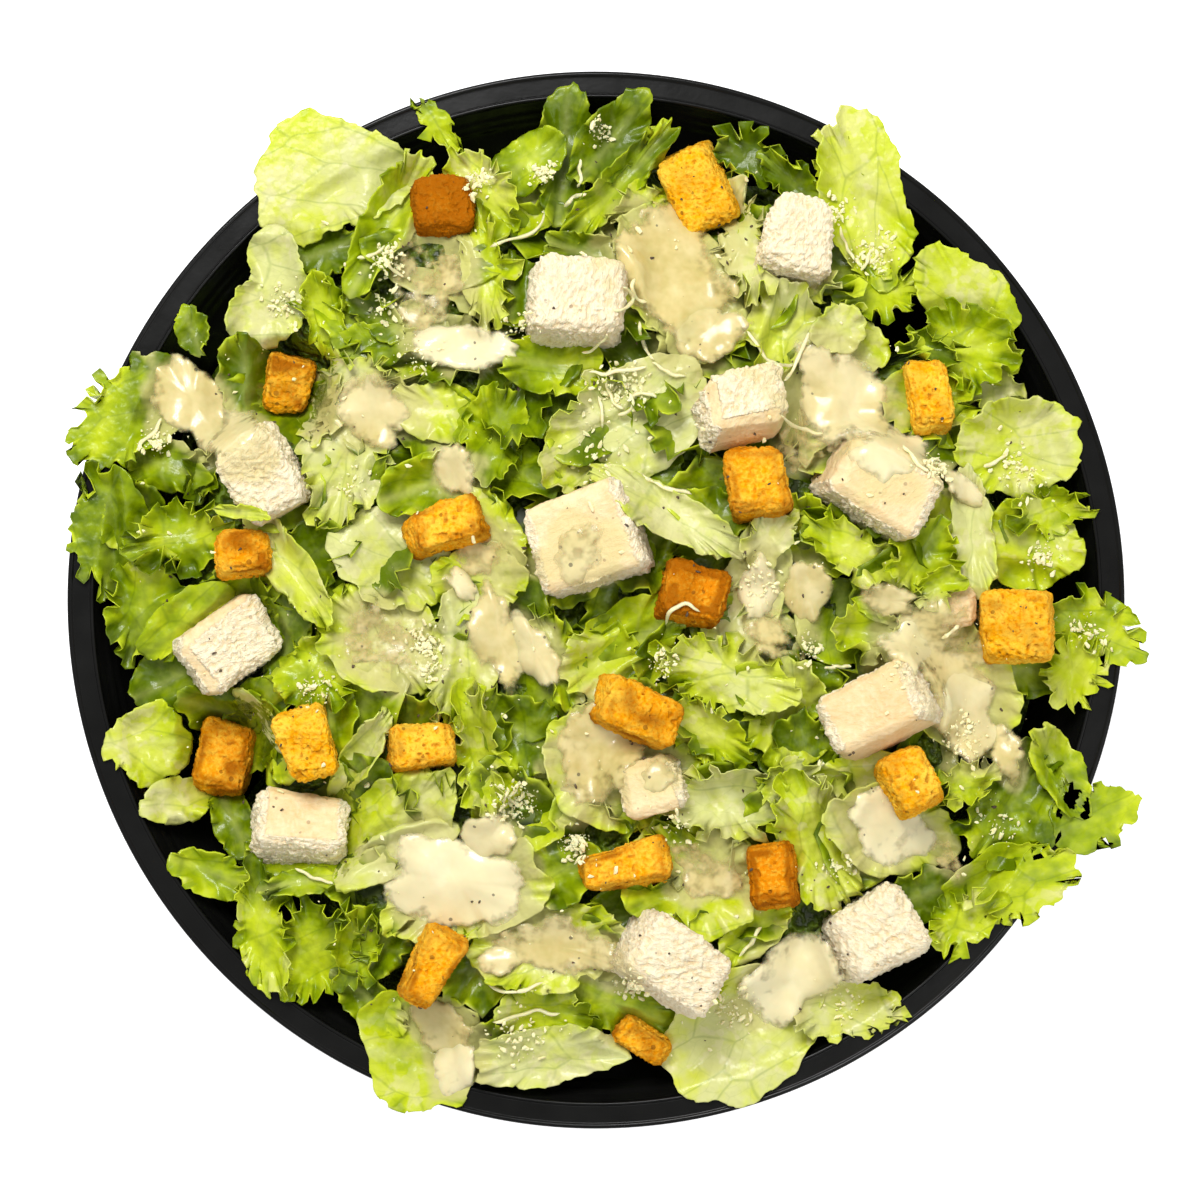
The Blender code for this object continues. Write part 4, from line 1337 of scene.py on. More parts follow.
def core_piece(finish, ceiling):
    """The leaves deep in the heap: a disc of (share, angle) under the dome, whose radius is the share of the
    heap's reach. Its upper side has noise relief, drops at the margin and stays inside the wall, and its
    underside slopes in to the bowl's floor."""
    rings, spokes = 46, 200
    share = np.repeat(np.arange(1, rings + 1) / rings, spokes)
    angle = np.tile(spoke_angles(spokes), rings)
    reach = np.minimum(heap_reach(angle), RIM_RADIUS - 9.0) - 5.0
    radius = np.append(share * reach, 0.0)
    share, angle = np.append(share, 0.0), np.append(angle, 0.0)
    x, y = radius * np.cos(angle), radius * np.sin(angle)
    spot = np.stack([x, y, np.zeros_like(x)], 1)
    drop = 16.0 * smooth(0.86, 1.0, share)
    height = np.minimum(dome(x, y) - CORE_DEPTH, ceiling.at(x, y) - CORE_GAP)
    height = np.maximum(height - drop + 1.6 * layered(spot, 7.0, 5), wall_height(radius) + 1.6)
    top = np.stack([x, y, height], 1)
    floor = 3.0 + 22.0 * share**3
    bottom = np.stack([x * 0.72, y * 0.72, np.minimum(floor, top[:, 2] - 2.0)], 1)
    bottom[share > 0.999] = top[share > 0.999] - [0.0, 0.0, 1.0]
    points, faces = closed_disc(top, bottom, rings, spokes)
    return make_piece("lettuce_core", points, faces, finish)


# ---------------------------------------------------------------- chicken and croutons


def ball_directions(cuts):
    """Unit directions spread evenly over a ball, and the triangles between them as (M, 4) faces."""
    made = bmesh.new()
    bmesh.ops.create_icosphere(made, subdivisions=cuts, radius=1.0)
    made.verts.ensure_lookup_table()
    directions = np.array([vert.co for vert in made.verts])
    faces = np.array([[vert.index for vert in face.verts] for face in made.faces])
    made.free()
    return directions / np.linalg.norm(directions, axis=1, keepdims=True), faces[:, [0, 1, 2, 2]]


def chunk_surface(chunk, directions, sharpness):
    """The chunk's rounded surface: along each direction the faces' distances are joined by a power mean,
    whose power is the sharpness. Also how near each point is to an edge, and the number of its face."""
    pull = np.clip(directions @ chunk.normals.T, 1e-4, None) / chunk.distance
    radius = (pull**sharpness).sum(axis=1) ** (-1.0 / sharpness)
    ranked = np.sort(pull, axis=1)
    edge = smooth(0.84, 1.0, ranked[:, -2] / ranked[:, -1])
    return directions * radius[:, None], edge, pull.argmax(axis=1)


def crouton_piece(name, seed, baked, sizes, finish, ball):
    """One crouton: the node's rounded surface, pushed in by pores and worn edges, and out by noise lumps and
    grains. baked is how far its crust has coloured; on a crouton that lies in shadow it is set higher, as
    painted shade."""
    chunk = Chunk(name)
    directions, faces = ball
    points, edge, side = chunk_surface(chunk, directions, CROUTON_SHARPNESS)
    spot = points + 40.0 * seed
    lumps = 0.45 * noise(spot, 4.2, seed) + 0.15 * noise(spot, 1.8, seed + 1)
    lumps = lumps + 0.12 * noise(spot, 0.8, seed + 2)
    patchy = 0.45 + 0.55 * smooth(-0.2, 0.4, noise(spot, 5.0, seed + 4))
    pores = smooth(0.15, 0.7, noise(spot, 0.8, seed + 3)) * patchy
    depth = sizes.pore_depth / MM
    grains = np.abs(noise(spot, 0.95, seed + 8)) + 0.7 * np.abs(noise(spot, 0.5, seed + 9)) - 0.5
    points = points + directions * (lumps + 0.38 * grains - 0.7 * depth * pores - 0.15 * edge)[:, None]
    crust_side = np.isin(side, [seed % len(chunk.normals), (seed + 2) % len(chunk.normals)])
    crust = baked + np.where(crust_side, 0.12, -0.06) + 0.3 * noise(spot, 6.0, seed + 5)
    browned = edge * (0.55 + 0.6 * noise(spot, 2.6, seed + 6))
    browned = browned + 0.35 * smooth(0.0, 0.8, noise(spot, 4.2, seed + 7))
    # baking beyond 0.7 browns further; on the first crouton this deep brown is painted shade
    browned = browned * (0.38 + 1.1 * baked) + 0.9 * max(0.0, baked - 0.7)
    # the third number is painted shade in the pores, lightened on the grains as painted light
    tone = np.stack([np.clip(browned, 0.0, 0.9), crust, np.clip(0.7 * pores - 0.35 * grains, 0.0, 1.0)], 1)
    return make_piece(name.replace("crouton", "toast"), points + chunk.middle, faces, finish, tone)


def chicken_piece(name, seed, fibrous, brown, sizes, finish, ball, wash):
    """One chunk: the node's rounded surface, roughened by broken grains and by fibres, a noise drawn out
    along the grain. Both are stronger on its cut faces, whose edges are ragged. fibrous is the share of its
    faces that are cut, and brown how much of the browned outside shows."""
    chunk = Chunk(name)
    directions, faces = ball
    points, edge, side = chunk_surface(chunk, directions, CHICKEN_SHARPNESS)
    spot = points + 50.0 * seed
    along = np.array([math.cos(1.7 * seed), math.sin(1.7 * seed), 0.25])
    along /= np.linalg.norm(along)
    across = np.cross(along, [0.0, 0.0, 1.0])
    upright = np.cross(along, across)
    grain = np.stack([points @ along / 4.5, points @ across / 0.7, points @ upright / 0.7], 1) + 9.0 * seed
    strands = noise(grain, 1.0, seed) + 0.5 * noise(2.1 * grain, 1.0, seed + 1)
    facing = (chunk.normals @ along) ** 2
    rank = np.argsort(np.argsort(-facing - 0.3 * chunk.normals[:, 2] * (fibrous > 0.7)))
    cut = (rank < round(fibrous * len(rank))).astype(float)[side]
    broken = 0.7 * np.abs(noise(spot, 1.6, seed + 2)) + 1.6 * np.abs(noise(spot, 0.85, seed + 3)) - 0.6
    crumbly = noise(spot, 0.55, seed + 8)
    ragged = 0.9 * np.clip(noise(spot, 1.8, seed + 7), -0.3, 1.0) * edge
    rough = mix(0.3, 1.0, cut) * (0.12 * strands + 1.1 * broken + 0.5 * crumbly) + cut * ragged
    swell = 0.45 * noise(spot, 7.0, seed + 4) + 0.25 * noise(spot, 3.2, seed + 5)
    points = points + directions * (swell + sizes.strand_height / MM * rough)[:, None]
    skin = np.clip(brown * (1.0 - cut) * (0.7 + 0.5 * noise(spot, 5.0, seed + 6)), 0.0, 1.0)
    # pale: cut faces are truly whiter, and the share from rough is painted light on what stands out and
    # painted shade in the hollows
    pale = np.clip(0.45 * cut + 0.55 * rough, 0.0, 1.0)
    x, y, z = (points + chunk.middle).T
    washed = wash.at(x, y) * smooth(-0.3, 0.5, z - chunk.middle[2]) * min(1.0, 1.3 - brown)
    tone = np.stack([np.clip(cut + 0.15, 0.0, 1.0), skin, pale, washed], 1)
    flat = np.stack([points @ along, points @ across + 0.6 * (points @ upright)], 1) / 10.0
    return make_piece(name.replace("chicken", "breast"), points + chunk.middle, faces, finish, tone, flat)


# How far each crouton is baked, in the order of the nodes' names. The first crouton's 1.60 and the third's
# 0.50 are partly painted shade, for these lie in shadow.
CROUTON_BAKED = (1.60, -0.10, 0.50, 0.46, 0.46, 0.50, 0.05, 0.98, 0.08, 0.45, 0.56, -0.15, 0.21, 0.12, 0.40,
                 0.92, 0.40, 0.45)

# How fibrous each chunk is, and how much browned outside it shows, in the order of the nodes' names. The last
# chunk's full brown is painted shade, for it lies in shadow under the dressing.
CHICKEN_LOOKS = ((1.0, 0.0), (0.9, 0.3), (0.6, 0.3), (0.8, 0.1), (0.7, 0.1), (0.45, 0.35), (0.6, 0.1),
                 (0.5, 0.7), (0.4, 0.2), (0.7, 0.3), (0.8, 0.2), (1.0, 0.0), (0.0, 1.0))


# ---------------------------------------------------------------- dressing, cheese and pepper


class Pool(Oval):
    """A pool of dressing: its place, its depth, and how chalky it is, from 0, a thin glaze, to 1, thick and
    white."""

    def __init__(self, x, y, heading, long, wide, depth, chalky=0.0, shape=OVAL):
        super().__init__(x, y, heading, long, wide, shape)
        self.depth, self.chalky = depth, chalky


POOLS = [
    Pool(-30.5, 58.5, 80, 9.5, 6.6, 0.3, 0.0),
    Pool(-25, 47.5, -8, 9.5, 4.4, 1.5, 0.8),
    Pool(15, 60.5, -55, 14.5, 9.5, 1.2, 0.0, (1.0, 0.95, 1.0, 1.05, 0.95, 1.0, 0.95, 1.0)),
    Pool(21, 50, 25, 7.2, 5, 1.3, 0.05),
    Pool(-75, 37, -55, 11, 6.8, 1.2, 0.2, (1.0, 0.9, 1.0, 0.95, 1.0, 1.05, 0.95, 0.9)),
    Pool(-66, 30.5, -42, 7, 5, 0.8, 0.35),
    Pool(-42, 35, -20, 7.8, 7, 0.9, 0.15),
    Pool(-26, 24, 0, 4, 5, 0.8, 0.35),
    Pool(-21, 9.5, -30, 7.5, 5, 0.4),
    Pool(-25, 3, -50, 3.8, 2.2, 1.3, 0.7),
    Pool(-39, -7.5, -20, 8, 6.5, 0.3),
    Pool(-18, -7, -78, 9, 5.4, 1.1, 0.1),
    Pool(-11.5, -9.5, -62, 6.8, 4, 1.5, 0.45),
    Pool(0.5, -28, -15, 9, 10, 1.1, 0.0),
    Pool(46.5, 37, -50, 13, 9.5, 1.2, 0.4, (1.0, 0.95, 1.0, 1.0, 0.95, 1.0, 1.0, 0.95)),
    Pool(38, 29, 0, 6.0, 5.4, 0.25, 0.0),
    Pool(54, 27, -30, 6.5, 6, 0.9, 0.6),
    Pool(30.5, 2, 90, 7.5, 4.8, 1.4, 0.7),
    Pool(39, 2, 80, 6.2, 4.8, 1.4, 0.1),
    Pool(34, -6.5, -10, 6.5, 4.6, 0.4, 0.0),
    Pool(54, 0, -5, 6.2, 2.8, 0.8, 0.1),
    Pool(65, -10, -62, 12, 8, 0.5, 0.0),
    Pool(68, -21, -45, 9, 7.5, 1.2, 0.4),
    Pool(58, -9, -10, 6, 6, 0.8, 0.45),
    Pool(76.5, -28.5, -78, 6.2, 3.2, 0.8, 0.15),
    Pool(54.5, -42, -25, 9.5, 6.6, 1.0, 0.8),
    Pool(65, -47.5, -62, 5.4, 2.6, 0.35, 0.0),
    Pool(-26, -52.5, -20, 14.5, 8.4, 1.7, 0.75, (1.0, 0.95, 0.95, 1.05, 0.95, 0.9, 1.0, 1.0)),
    Pool(-20, -44.5, 10, 5.5, 4.6, 1.2, 0.5),
    Pool(-7, -64.5, -14, 12.5, 5.2, 0.8, 0.15),
    Pool(-18, -67, 10, 4.5, 2.6, 1.1, 0.2),
    Pool(21, -50.5, -30, 8.2, 5.6, 0.5, 0.0),
    Pool(-29, -79.5, -25, 6.5, 4.4, 0.9, 0.0),
    Pool(-26, -87, 70, 5.6, 4.6, 1.3, 0.55),
    Pool(36.5, -70.5, 32, 9.5, 6.4, 1.4, 0.7),
    Pool(68, 21, -35, 6, 2.6, 1.0, 0.5),
    Pool(-3, 8.5, 30, 7, 5.4, 0.7, 0.2),
    Pool(11.5, -32.5, 20, 4.6, 4, 0.7, 0.1),
]


def dressing_wash():
    """A map of how much thin dressing lies at each place, from 0 to 1: full within each pool's oval, and
    fading beyond it over a border that noise makes uneven."""
    wash = HeightMap(POOL_CELL)
    spot = np.stack([wash.x, wash.y, np.zeros_like(wash.x)], -1).reshape(-1, 3)
    uneven = (0.45 * noise(spot, 6.0, 77) + 0.25 * noise(spot, 2.6, 78)).reshape(wash.x.shape)
    for pool in POOLS:
        wash.z = np.maximum(wash.z, 1.0 - smooth(0.85, 1.6, pool.share(wash.x, wash.y) + uneven))
    return wash


def pool_sheet(pool, bed, seed):
    """One pool as (points, faces, tone): a disc whose margin is an oval with waves of noise, laid on the map
    of what lies below, but climbing only so far above its own middle level. It is thicker by its depth times
    1 - s to the 2.5th, and sinks away by s to the 8th, where s is the share of the way out."""
    spokes = int(np.clip(2 * math.pi * max(pool.long, pool.wide) / 0.75, 28, 110))
    rings = int(np.clip(min(pool.long, pool.wide) / 0.7, 6, 16))
    turn = spoke_angles(spokes)
    uneven = sum(size * ring_noise(turn, waves, seed + waves) for size, waves in POOL_WAVES)
    reach = pool.outline(turn) * (1.05 + uneven)
    s, around = disc_grid(rings, spokes, 1.4)
    along = pool.long * (reach * np.cos(turn))[around] * s
    across = pool.wide * (reach * np.sin(turn))[around] * s
    x, y = moved_out(*pool.place(along, across))
    spot = np.stack([x, y, np.full_like(x, 3.0 * seed)], 1)
    body = np.clip(1.0 - s**2.5, 0.0, 1.0) * (1.0 + 0.45 * noise(spot, 4.5, seed + 2))
    height = bed.at(x, y)
    z = np.minimum(height, np.median(height) + POOL_CLIMB) + pool.depth * body - 0.35 - 1.3 * s**8
    points, faces = shell_of(np.stack([x, y, z], 1), rings, spokes, 0.25 + 0.6 * pool.depth * body)
    chalky = np.clip(pool.chalky + 0.25 * noise(spot, 6.0, seed + 3), 0.0, 1.0)
    tone = np.stack([np.clip(body * min(1.0, 0.75 * pool.depth + 0.05), 0.0, 1.0), chalky, s], 1)
    return points, faces, np.concatenate([tone, tone])


# Long shreds of cheese: x, y, heading, length, and how strongly they bend round
SHREDS = (
    (5.5, 55, 60, 8, 130), (7.5, 57, -70, 6, 60), (9, 48, -62, 8, 15), (13.5, 42.5, -20, 7, 10),
    (4, 42.5, 12, 11, 20), (3, 38, -60, 7, 40), (6, 36, 70, 6, 60), (8.5, 38, 20, 6, -50),
    (1, 35, 100, 6, 30), (-14, 68.5, 38, 13, 25), (31, 46, -62, 10, 10), (37.5, 45, 55, 11, -15),
    (34, 43.5, 10, 6, 20), (38, 32, -6, 9, 12), (15.5, -2, 20, 9, -90), (13, 21, -32, 10, 15),
    (-15, -72.5, 4, 11, 15), (-13, -78, 5, 13, -20), (29, -64, 50, 7, 10), (59, 26, -35, 7, 20),
    (63, 25.5, -15, 5, 30), (-84, 31, 52, 8, 10), (47, 67, -70, 7, 20), (51, 64, 60, 5, 40),
    (-42, 65, 20, 6, 50), (-38, 62, -50, 5, 30), (45, -12.5, 8, 5, -20), (66, -6, 30, 4, 20),
    (-53, -52, -20, 8, 20), (0, 47, 40, 6, 30), (-17, -37, 70, 5, 30), (75, 26, 20, 5, 30),
    (-3, 80, 85, 6, 20), (-4, 75, 40, 5, -30),
)

# Drifts of cheese crumbs: x, y, how far they spread, and how many lie there
CRUMB_DRIFTS = (
    (-39, 64, 3.6, 120), (-59, 56, 4.0, 80), (-15, -38, 4.2, 180), (-4, -46, 2.6, 120), (26, -77, 5.0, 80),
    (-22, 79, 3.0, 80), (-10, 80, 2.4, 80), (1, 88, 2.6, 60), (52, 65, 4.0, 140), (46, 73, 3.0, 60),
    (-34, 45, 4.0, 48), (-32, -8, 3.4, 100), (-30, -13, 2.6, 48), (5, 39, 5.0, 180), (0, 28, 6.0, 60),
    (79, 25, 5.0, 80), (84, 8, 3.6, 80), (93, -6, 3.6, 60), (76, -42, 4.5, 48), (45, -50, 3.0, 48),
    (69, -26, 4.5, 100), (-52, -16, 3.6, 80), (-83, 30, 3.0, 60), (-14, -82, 6.0, 80), (47, -77, 3.4, 32),
    (63, 25, 2.6, 80), (40, -9, 3.0, 60), (-45, 22, 4.0, 40), (12, -11, 3.0, 60), (31, 3, 4.0, 40),
    (-14, 51, 3.0, 28), (15, -42, 4.0, 28), (6, -72, 3.0, 60), (55, -13, 3.0, 28), (-40, 55, 4.0, 40),
)


def shred_sheet(x, y, heading, length, bend, bed, seed):
    """One shred as (points, faces): a five-sided section carried along an arc that noise makes uneven, whose
    width varies by noise too, and which closes to a point at each end."""
    steps, sides = 18, 5
    t = np.linspace(0.0, 1.0, steps)
    wander = noise(np.stack([5.0 * t, np.full(steps, float(seed)), np.zeros(steps)], 1), 1.0, seed)
    course = math.radians(heading) + math.radians(bend) * (t - 0.5) * 1.6 + 0.5 * wander
    step = length / (steps - 1)
    path_x = x + np.cumsum(np.cos(course)) * step
    path_y = y + np.cumsum(np.sin(course)) * step
    path_x, path_y = path_x - path_x.mean() + x, path_y - path_y.mean() + y
    spot = np.stack([8.0 * t, np.full(steps, 5.0 * seed), np.zeros(steps)], 1)
    path_z = bed.at(path_x, path_y) + 0.45 + 0.35 * noise(spot, 2.0, seed)
    narrowing = np.sqrt(np.clip(1.0 - (2.0 * t - 1.0) ** 8, 0.02, 1.0))
    width = (0.38 + 0.12 * noise(spot, 1.0, seed + 1)) * narrowing
    around = spoke_angles(sides)
    aside = width[:, None] * np.cos(around)
    points = np.stack([path_x[:, None] - np.sin(course)[:, None] * aside,
                       path_y[:, None] + np.cos(course)[:, None] * aside,
                       path_z[:, None] + 0.7 * width[:, None] * np.sin(around)], -1).reshape(-1, 3)
    ends = np.array([[path_x[0], path_y[0], path_z[0]], [path_x[-1], path_y[-1], path_z[-1]]])
    return np.concatenate([points, ends]), turned_over(tube_faces(steps, sides))


def crumbs_sheet(spots, sizes, bed, ball, seed):
    """Many small grains as one (points, faces): at each spot on the map below, a ball of few faces that is
    drawn out along a random heading and has its corners moved at random."""
    directions, faces = ball
    count, corners = len(spots), len(directions)
    draw = np.random.default_rng(seed)
    heading, drawn = draw.uniform(0.0, 2 * math.pi, count), draw.uniform(0.9, 1.9, count)
    shape = directions[None] * np.stack([drawn, np.full(count, 0.85), np.full(count, 0.65)], 1)[:, None]
    shape = shape * (1.0 + 0.42 * draw.uniform(-1.0, 1.0, (count, corners, 1))) * sizes[:, None, None]
    shape = np.stack([*turned(shape[:, :, 0], shape[:, :, 1], heading[:, None]), shape[:, :, 2]], -1)
    height = bed.at(spots[:, 0], spots[:, 1]) + 0.25 * sizes
    points = shape + np.stack([spots[:, 0], spots[:, 1], height], 1)[:, None]
    every = faces[None] + (np.arange(count) * corners)[:, None, None]
    return points.reshape(-1, 3), every.reshape(-1, 4)


def loose_spots(count, reach, draw):
    """Random spots spread evenly over the heap, out to this share of its reach."""
    angle = draw.uniform(0.0, 2 * math.pi, count)
    radius = np.sqrt(draw.uniform(0.0, 1.0, count)) * np.minimum(heap_reach(angle), 92.0) * reach
    return np.stack([radius * np.cos(angle), radius * np.sin(angle)], 1)


# ---------------------------------------------------------------- what a user may change


def screen(red, green, blue):
    """A colour given in screen values from 0 to 255, as the linear values that shaders use."""
    share = np.array([red, green, blue]) / 255.0
    linear = np.where(share <= 0.04045, share / 12.92, ((share + 0.055) / 1.055) ** 2.4)
    return tuple(float(v) for v in linear)


def colour(label, words, red, green, blue):
    return FloatVectorProperty(name=label, description=words, subtype="COLOR", size=3, min=0.0, max=1.0,
                               default=screen(red, green, blue))


def length(label, words, default, low, high):
    """A length that is given in millimetres and kept in metres."""
    return FloatProperty(name=label, description=words, default=default * MM, min=low * MM, max=high * MM,
                         unit="LENGTH", precision=5)


def number(label, words, default, low, high):
    return IntProperty(name=label, description=words, default=default, min=low, max=high)


class SaladSizes(bpy.types.PropertyGroup):
    """Sizes and counts that can be changed."""

    wall: length("Bowl wall", "Thickness of the bowl's wall", WALL, 0.6, 2.0)
    profile_step: length("Bowl profile step", "Usual step along the bowl's section", 1.8, 0.8, 5.0)
    segments: number("Bowl segments", "Steps round the bowl", 320, 96, 512)
    fillers: number("Lower leaves", "Leaves laid under those that show", 85, 0, 200)
    pore_depth: length("Crouton pores", "Depth of the pores in the croutons", 0.7, 0.0, 2.0)
    strand_height: length("Chicken strands", "Height of the fibres on cut chicken", 0.42, 0.0, 2.0)
    loose_crumbs: number("Loose crumbs", "Cheese crumbs outside the drifts", 260, 0, 2000)
    flakes: number("Pepper flakes", "Flakes of pepper", 260, 0, 2000)


class SaladColours(bpy.types.PropertyGroup):
    """Colours that can be changed."""

    bowl_black: colour("Bowl", "Black of the bowl's plastic", 13, 13, 12)
    leaf_cream: colour("Leaf, cream", "Palest part of a leaf", 222, 223, 150)
    leaf_pale: colour("Leaf, pale", "Pale leaf", 217, 224, 86)
    leaf_light: colour("Leaf, light", "Light green leaf", 204, 218, 26)
    leaf_mid: colour("Leaf, middle", "Middle green leaf", 158, 180, 6)
    leaf_deep: colour("Leaf, deep", "Deep green leaf", 98, 122, 0)
    leaf_edge: colour("Leaf margin", "Bright ruffled margin", 214, 229, 50)
    leaf_rib: colour("Leaf rib", "Pale rib", 226, 228, 140)
    chicken_light: colour("Chicken, light", "Smooth cooked surface", 241, 218, 170)
    chicken_beige: colour("Chicken, beige", "Shaded cooked surface", 226, 197, 142)
    chicken_skin: colour("Chicken, browned", "Browned outside", 222, 180, 122)
    chicken_white: colour("Chicken, fibres", "White fibres", 249, 235, 202)
    crouton_gold: colour("Crouton, gold", "Toasted face", 253, 178, 8)
    crouton_crumb: colour("Crouton, crumb", "Paler crumb", 255, 209, 70)
    crouton_crust: colour("Crouton, crust", "Crust side", 234, 138, 2)
    crouton_brown: colour("Crouton, brown", "Browned edge", 152, 82, 0)
    dressing_light: colour("Dressing, light", "Thin dressing", 216, 199, 137)
    dressing_shade: colour("Dressing, shade", "Darker dressing", 196, 178, 108)
    dressing_film: colour("Dressing, film", "Dressing so thin that the leaf shows", 213, 207, 134)
    dressing_thick: colour("Dressing, thick", "Thick white dressing", 243, 232, 190)
    cheese_light: colour("Cheese, light", "Grated cheese", 249, 242, 202)
    cheese_shade: colour("Cheese, shade", "Darker grated cheese", 230, 218, 150)


# ---------------------------------------------------------------- operators


class SALAD_OT_bowl(bpy.types.Operator):
    """Build the round black bowl"""

    bl_idname = "salad.bowl"
    bl_label = "Bowl"

    def execute(self, context):
        made = bowl_piece(context.scene.salad_sizes, bowl_material(context.scene.salad_colours))
        settle(made, "bowl", "bowl")
        return {"FINISHED"}


class SALAD_OT_chicken(bpy.types.Operator):
    """Build the chunks of chicken"""

    bl_idname = "salad.chicken"
    bl_label = "Chicken"

    def execute(self, context):
        finish = chicken_material(context.scene.salad_colours)
        ball = ball_directions(BALL_CUTS)
        sizes = context.scene.salad_sizes
        wash = dressing_wash()
        if len(CHICKEN) != len(CHICKEN_LOOKS):
            raise RuntimeError("each chunk of chicken needs its own look")
        for number, (name, (fibrous, brown)) in enumerate(zip(CHICKEN, CHICKEN_LOOKS)):
            made = chicken_piece(name, CHICKEN_SEED + 11 * number, fibrous, brown, sizes, finish, ball, wash)
            settle(made, "chicken", name)
        return {"FINISHED"}


class SALAD_OT_croutons(bpy.types.Operator):
    """Build the croutons"""

    bl_idname = "salad.croutons"
    bl_label = "Croutons"

    def execute(self, context):
        finish = crouton_material(context.scene.salad_colours)
        ball = ball_directions(BALL_CUTS)
        sizes = context.scene.salad_sizes
        if len(CROUTONS) != len(CROUTON_BAKED):
            raise RuntimeError("each crouton needs its own baking")
        for number, (name, baked) in enumerate(zip(CROUTONS, CROUTON_BAKED)):
            made = crouton_piece(name, CROUTON_SEED + 11 * number, baked, sizes, finish, ball)
            settle(made, "crouton", name)
        return {"FINISHED"}


class SALAD_OT_lettuce(bpy.types.Operator):
    """Build the heap's core, the lower leaves and the leaves that show"""

    bl_idname = "salad.lettuce"
    bl_label = "Lettuce"

    def execute(self, context):
        colours = context.scene.salad_colours
        ceiling, tops = chunk_room(MAP_CELL, [Chunk(name) for name in CHICKEN + CROUTONS])
        settle(core_piece(core_material(colours), ceiling), *HEAP)
        stack = HeightMap(MAP_CELL)
        stack.z = np.minimum(dome(stack.x, stack.y) - CORE_DEPTH, ceiling.z - CORE_GAP)
        fillers = filler_leaves(context.scene.salad_sizes.fillers)
        sheets = lay_leaves(fillers, stack, ceiling, tops, FILLER_SEED, COARSE)
        stack.z = np.minimum(stack.z, dome(stack.x, stack.y) - 3.5)
        sheets += lay_leaves(LEAVES, stack, ceiling, tops, LEAF_SEED, FINE)
        batches, weight = [[]], 0
        for sheet in sheets:
            weight += 2 * len(sheet[1])
            if weight > MOST_FACES:
                batches.append([])
                weight = 2 * len(sheet[1])
            batches[-1].append(sheet)
        finish = leaf_material(colours)
        for number, batch in enumerate(batches, 1):
            points, faces, tone, flat = joined(batch)
            settle(make_piece(f"lettuce_leaves_{number}", points, faces, finish, tone, flat), *HEAP)
        return {"FINISHED"}


class SALAD_OT_dressing(bpy.types.Operator):
    """Build the pools of dressing on what lies below them"""

    bl_idname = "salad.dressing"
    bl_label = "Dressing"

    def execute(self, context):
        below = surface_map(POOL_CELL, ("lettuce", "breast")).swollen(1.6).blurred(1.6)
        sheets = [pool_sheet(pool, below, POOL_SEED + 7 * number) for number, pool in enumerate(POOLS)]
        points, faces, tone = joined(sheets)
        finish = dressing_material(context.scene.salad_colours)
        settle(make_piece("dressing_pools", points, faces, finish, tone), *HEAP)
        return {"FINISHED"}


class SALAD_OT_cheese(bpy.types.Operator):
    """Build the grated cheese: shreds and crumbs"""

    bl_idname = "salad.cheese"
    bl_label = "Cheese"

    def execute(self, context):
        bed = surface_map(CRUMB_CELL, ALL_FOOD).swollen(CRUMB_CELL)
        smoother = bed.blurred(0.9)
        finish = cheese_material(context.scene.salad_colours)
        sheets = [shred_sheet(*row, smoother, SHRED_SEED + 5 * number) for number, row in enumerate(SHREDS)]
        settle(make_piece("cheese_shreds", *joined(sheets), finish), *HEAP)
        draw = np.random.default_rng(CRUMB_SEED)
        spots = []
        for x, y, spread, count in CRUMB_DRIFTS:
            spots.append(np.stack([draw.normal(middle, 0.5 * spread, count) for middle in (x, y)], 1))
        spots.append(loose_spots(context.scene.salad_sizes.loose_crumbs, 0.97, draw))
        spots = np.concatenate(spots)
        sizes = 0.10 + 0.46 * draw.uniform(0.0, 1.0, len(spots)) ** 3.0
        points, faces = crumbs_sheet(spots, sizes, bed, ball_directions(1), CRUMB_SEED + 10)
        settle(make_piece("cheese_crumbs", points, faces, finish, rounded=False), *HEAP)
        return {"FINISHED"}


class SALAD_OT_pepper(bpy.types.Operator):
    """Scatter the ground pepper"""

    bl_idname = "salad.pepper"
    bl_label = "Pepper"

    def execute(self, context):
        bed = surface_map(CRUMB_CELL, ALL_FOOD)
        draw = np.random.default_rng(PEPPER_SEED)
        spots = loose_spots(context.scene.salad_sizes.flakes, 0.95, draw)
        sizes = draw.uniform(0.12, 0.34, len(spots))
        points, faces = crumbs_sheet(spots, sizes, bed, ball_directions(1), PEPPER_SEED + 10)
        settle(make_piece("pepper_flakes", points, faces, pepper_material()), *HEAP)
        return {"FINISHED"}


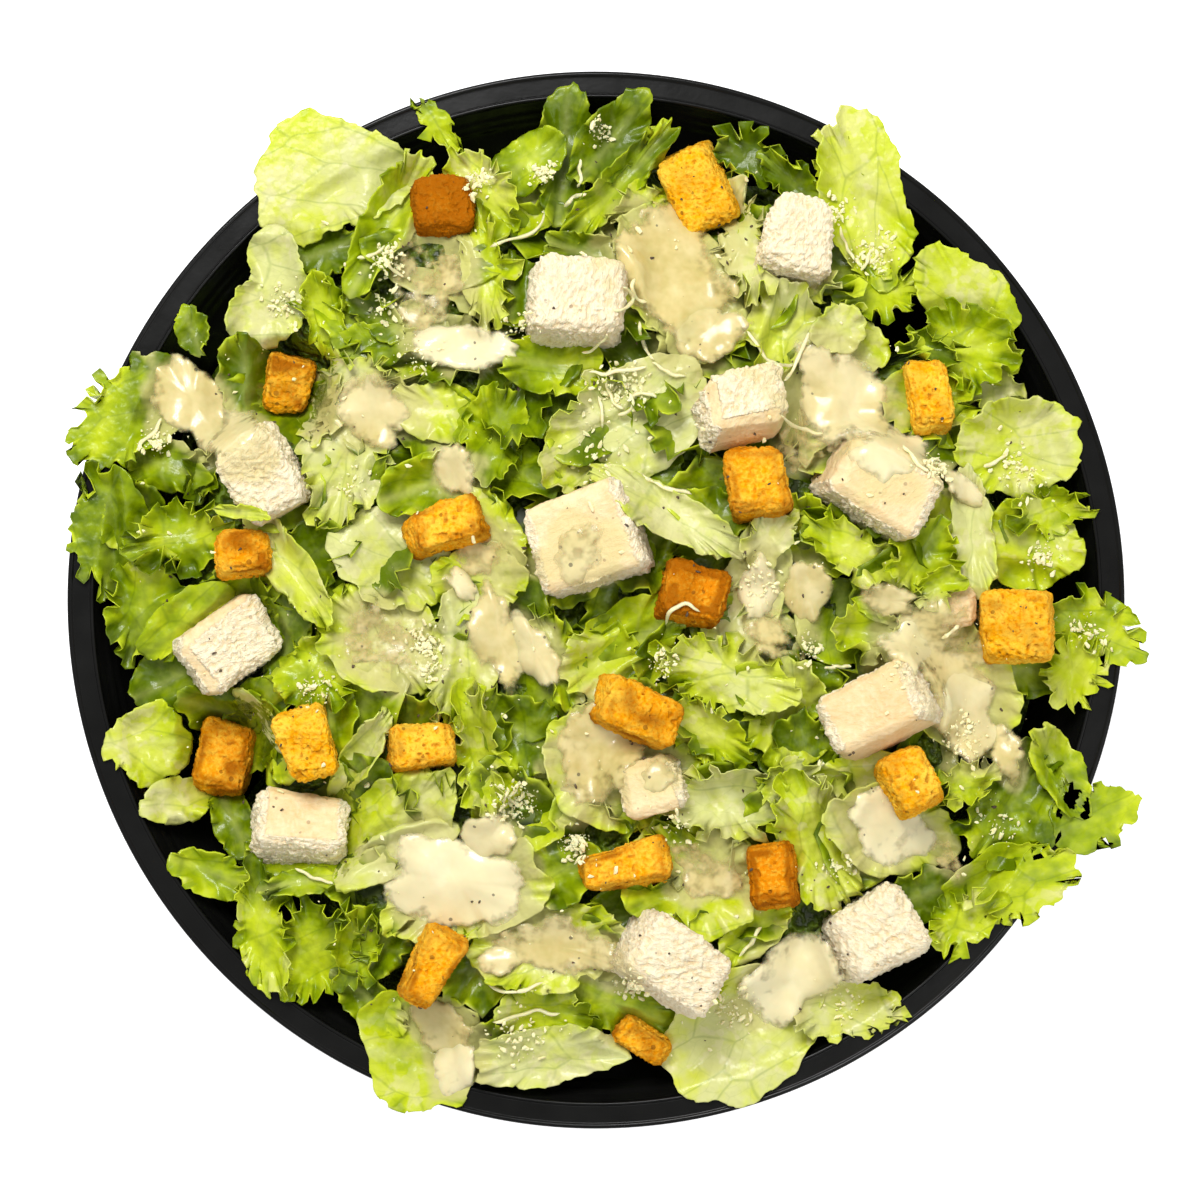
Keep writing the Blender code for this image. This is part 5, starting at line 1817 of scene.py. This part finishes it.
class SALAD_OT_stage(bpy.types.Operator):
    """Set up the floor, the lights and the camera above"""

    bl_idname = "salad.stage"
    bl_label = "Stage"

    def execute(self, context):
        scene = context.scene
        white = (1.0, 1.0, 1.0, 1.0)
        finish = bpy.data.materials.new("pale_floor")
        finish.use_nodes = True
        shader = finish.node_tree.nodes["Principled BSDF"]
        shader.inputs["Base Color"].default_value = white
        shader.inputs["Roughness"].default_value = 0.9
        shader.inputs["Emission Color"].default_value = white
        shader.inputs["Emission Strength"].default_value = FLOOR_LIGHT
        corners = np.array([[-1, -1, 0], [1, -1, 0], [1, 1, 0], [-1, 1, 0]]) * 3000.0
        floor = make_piece("floor", corners, np.array([[0, 1, 2, 3]]), finish)
        world = bpy.data.worlds.new("soft_room")
        world.use_nodes = True
        background = world.node_tree.nodes["Background"]
        background.inputs["Color"].default_value = white
        background.inputs["Strength"].default_value = ROOM_LIGHT
        scene.world = world
        aim = Vector(LAMP_AIM)
        for name, place, size, power in LAMPS:
            light = bpy.data.lights.new(name, "AREA")
            light.shape, light.size, light.energy = "DISK", size, power
            lamp = bpy.data.objects.new(name, light)
            scene.collection.objects.link(lamp)
            lamp.location = place
            lamp.rotation_euler = (aim - Vector(place)).to_track_quat("-Z", "Y").to_euler()
        lens = bpy.data.cameras.new("camera")
        lens.sensor_width = SENSOR
        lens.lens = SENSOR * CAMERA_RISE / VIEW_WIDTH
        camera = bpy.data.objects.new("camera", lens)
        scene.collection.objects.link(camera)
        camera.location = (CAMERA_SIDE * MM, 0.0, (RIM_HEIGHT + CAMERA_RISE) * MM)
        scene.camera = camera
        scene.view_settings.view_transform = "Standard"
        return {"FINISHED"}


OPERATORS = (SALAD_OT_bowl, SALAD_OT_chicken, SALAD_OT_croutons, SALAD_OT_lettuce, SALAD_OT_dressing,
             SALAD_OT_cheese, SALAD_OT_pepper, SALAD_OT_stage)


class SALAD_PT_panel(bpy.types.Panel):
    """Buttons for each group of pieces, with the sizes and colours they use"""

    bl_idname = "SALAD_PT_panel"
    bl_label = "Caesar Salad"
    bl_space_type = "VIEW_3D"
    bl_region_type = "UI"
    bl_category = "Salad"

    def draw(self, context):
        for group in (context.scene.salad_sizes, context.scene.salad_colours):
            box = self.layout.box()
            for name in group.__annotations__:
                box.prop(group, name)
        for operator in OPERATORS:
            self.layout.operator(operator.bl_idname)


CLASSES = (SaladSizes, SaladColours, *OPERATORS, SALAD_PT_panel)


def register():
    for kind in CLASSES:
        bpy.utils.register_class(kind)
    bpy.types.Scene.salad_sizes = PointerProperty(type=SaladSizes)
    bpy.types.Scene.salad_colours = PointerProperty(type=SaladColours)


def unregister():
    del bpy.types.Scene.salad_colours
    del bpy.types.Scene.salad_sizes
    for kind in reversed(CLASSES):
        bpy.utils.unregister_class(kind)


def main():
    register()
    for operator in OPERATORS:
        group, name = operator.bl_idname.split(".")
        getattr(getattr(bpy.ops, group), name)()


if __name__ == "__main__":
    main()
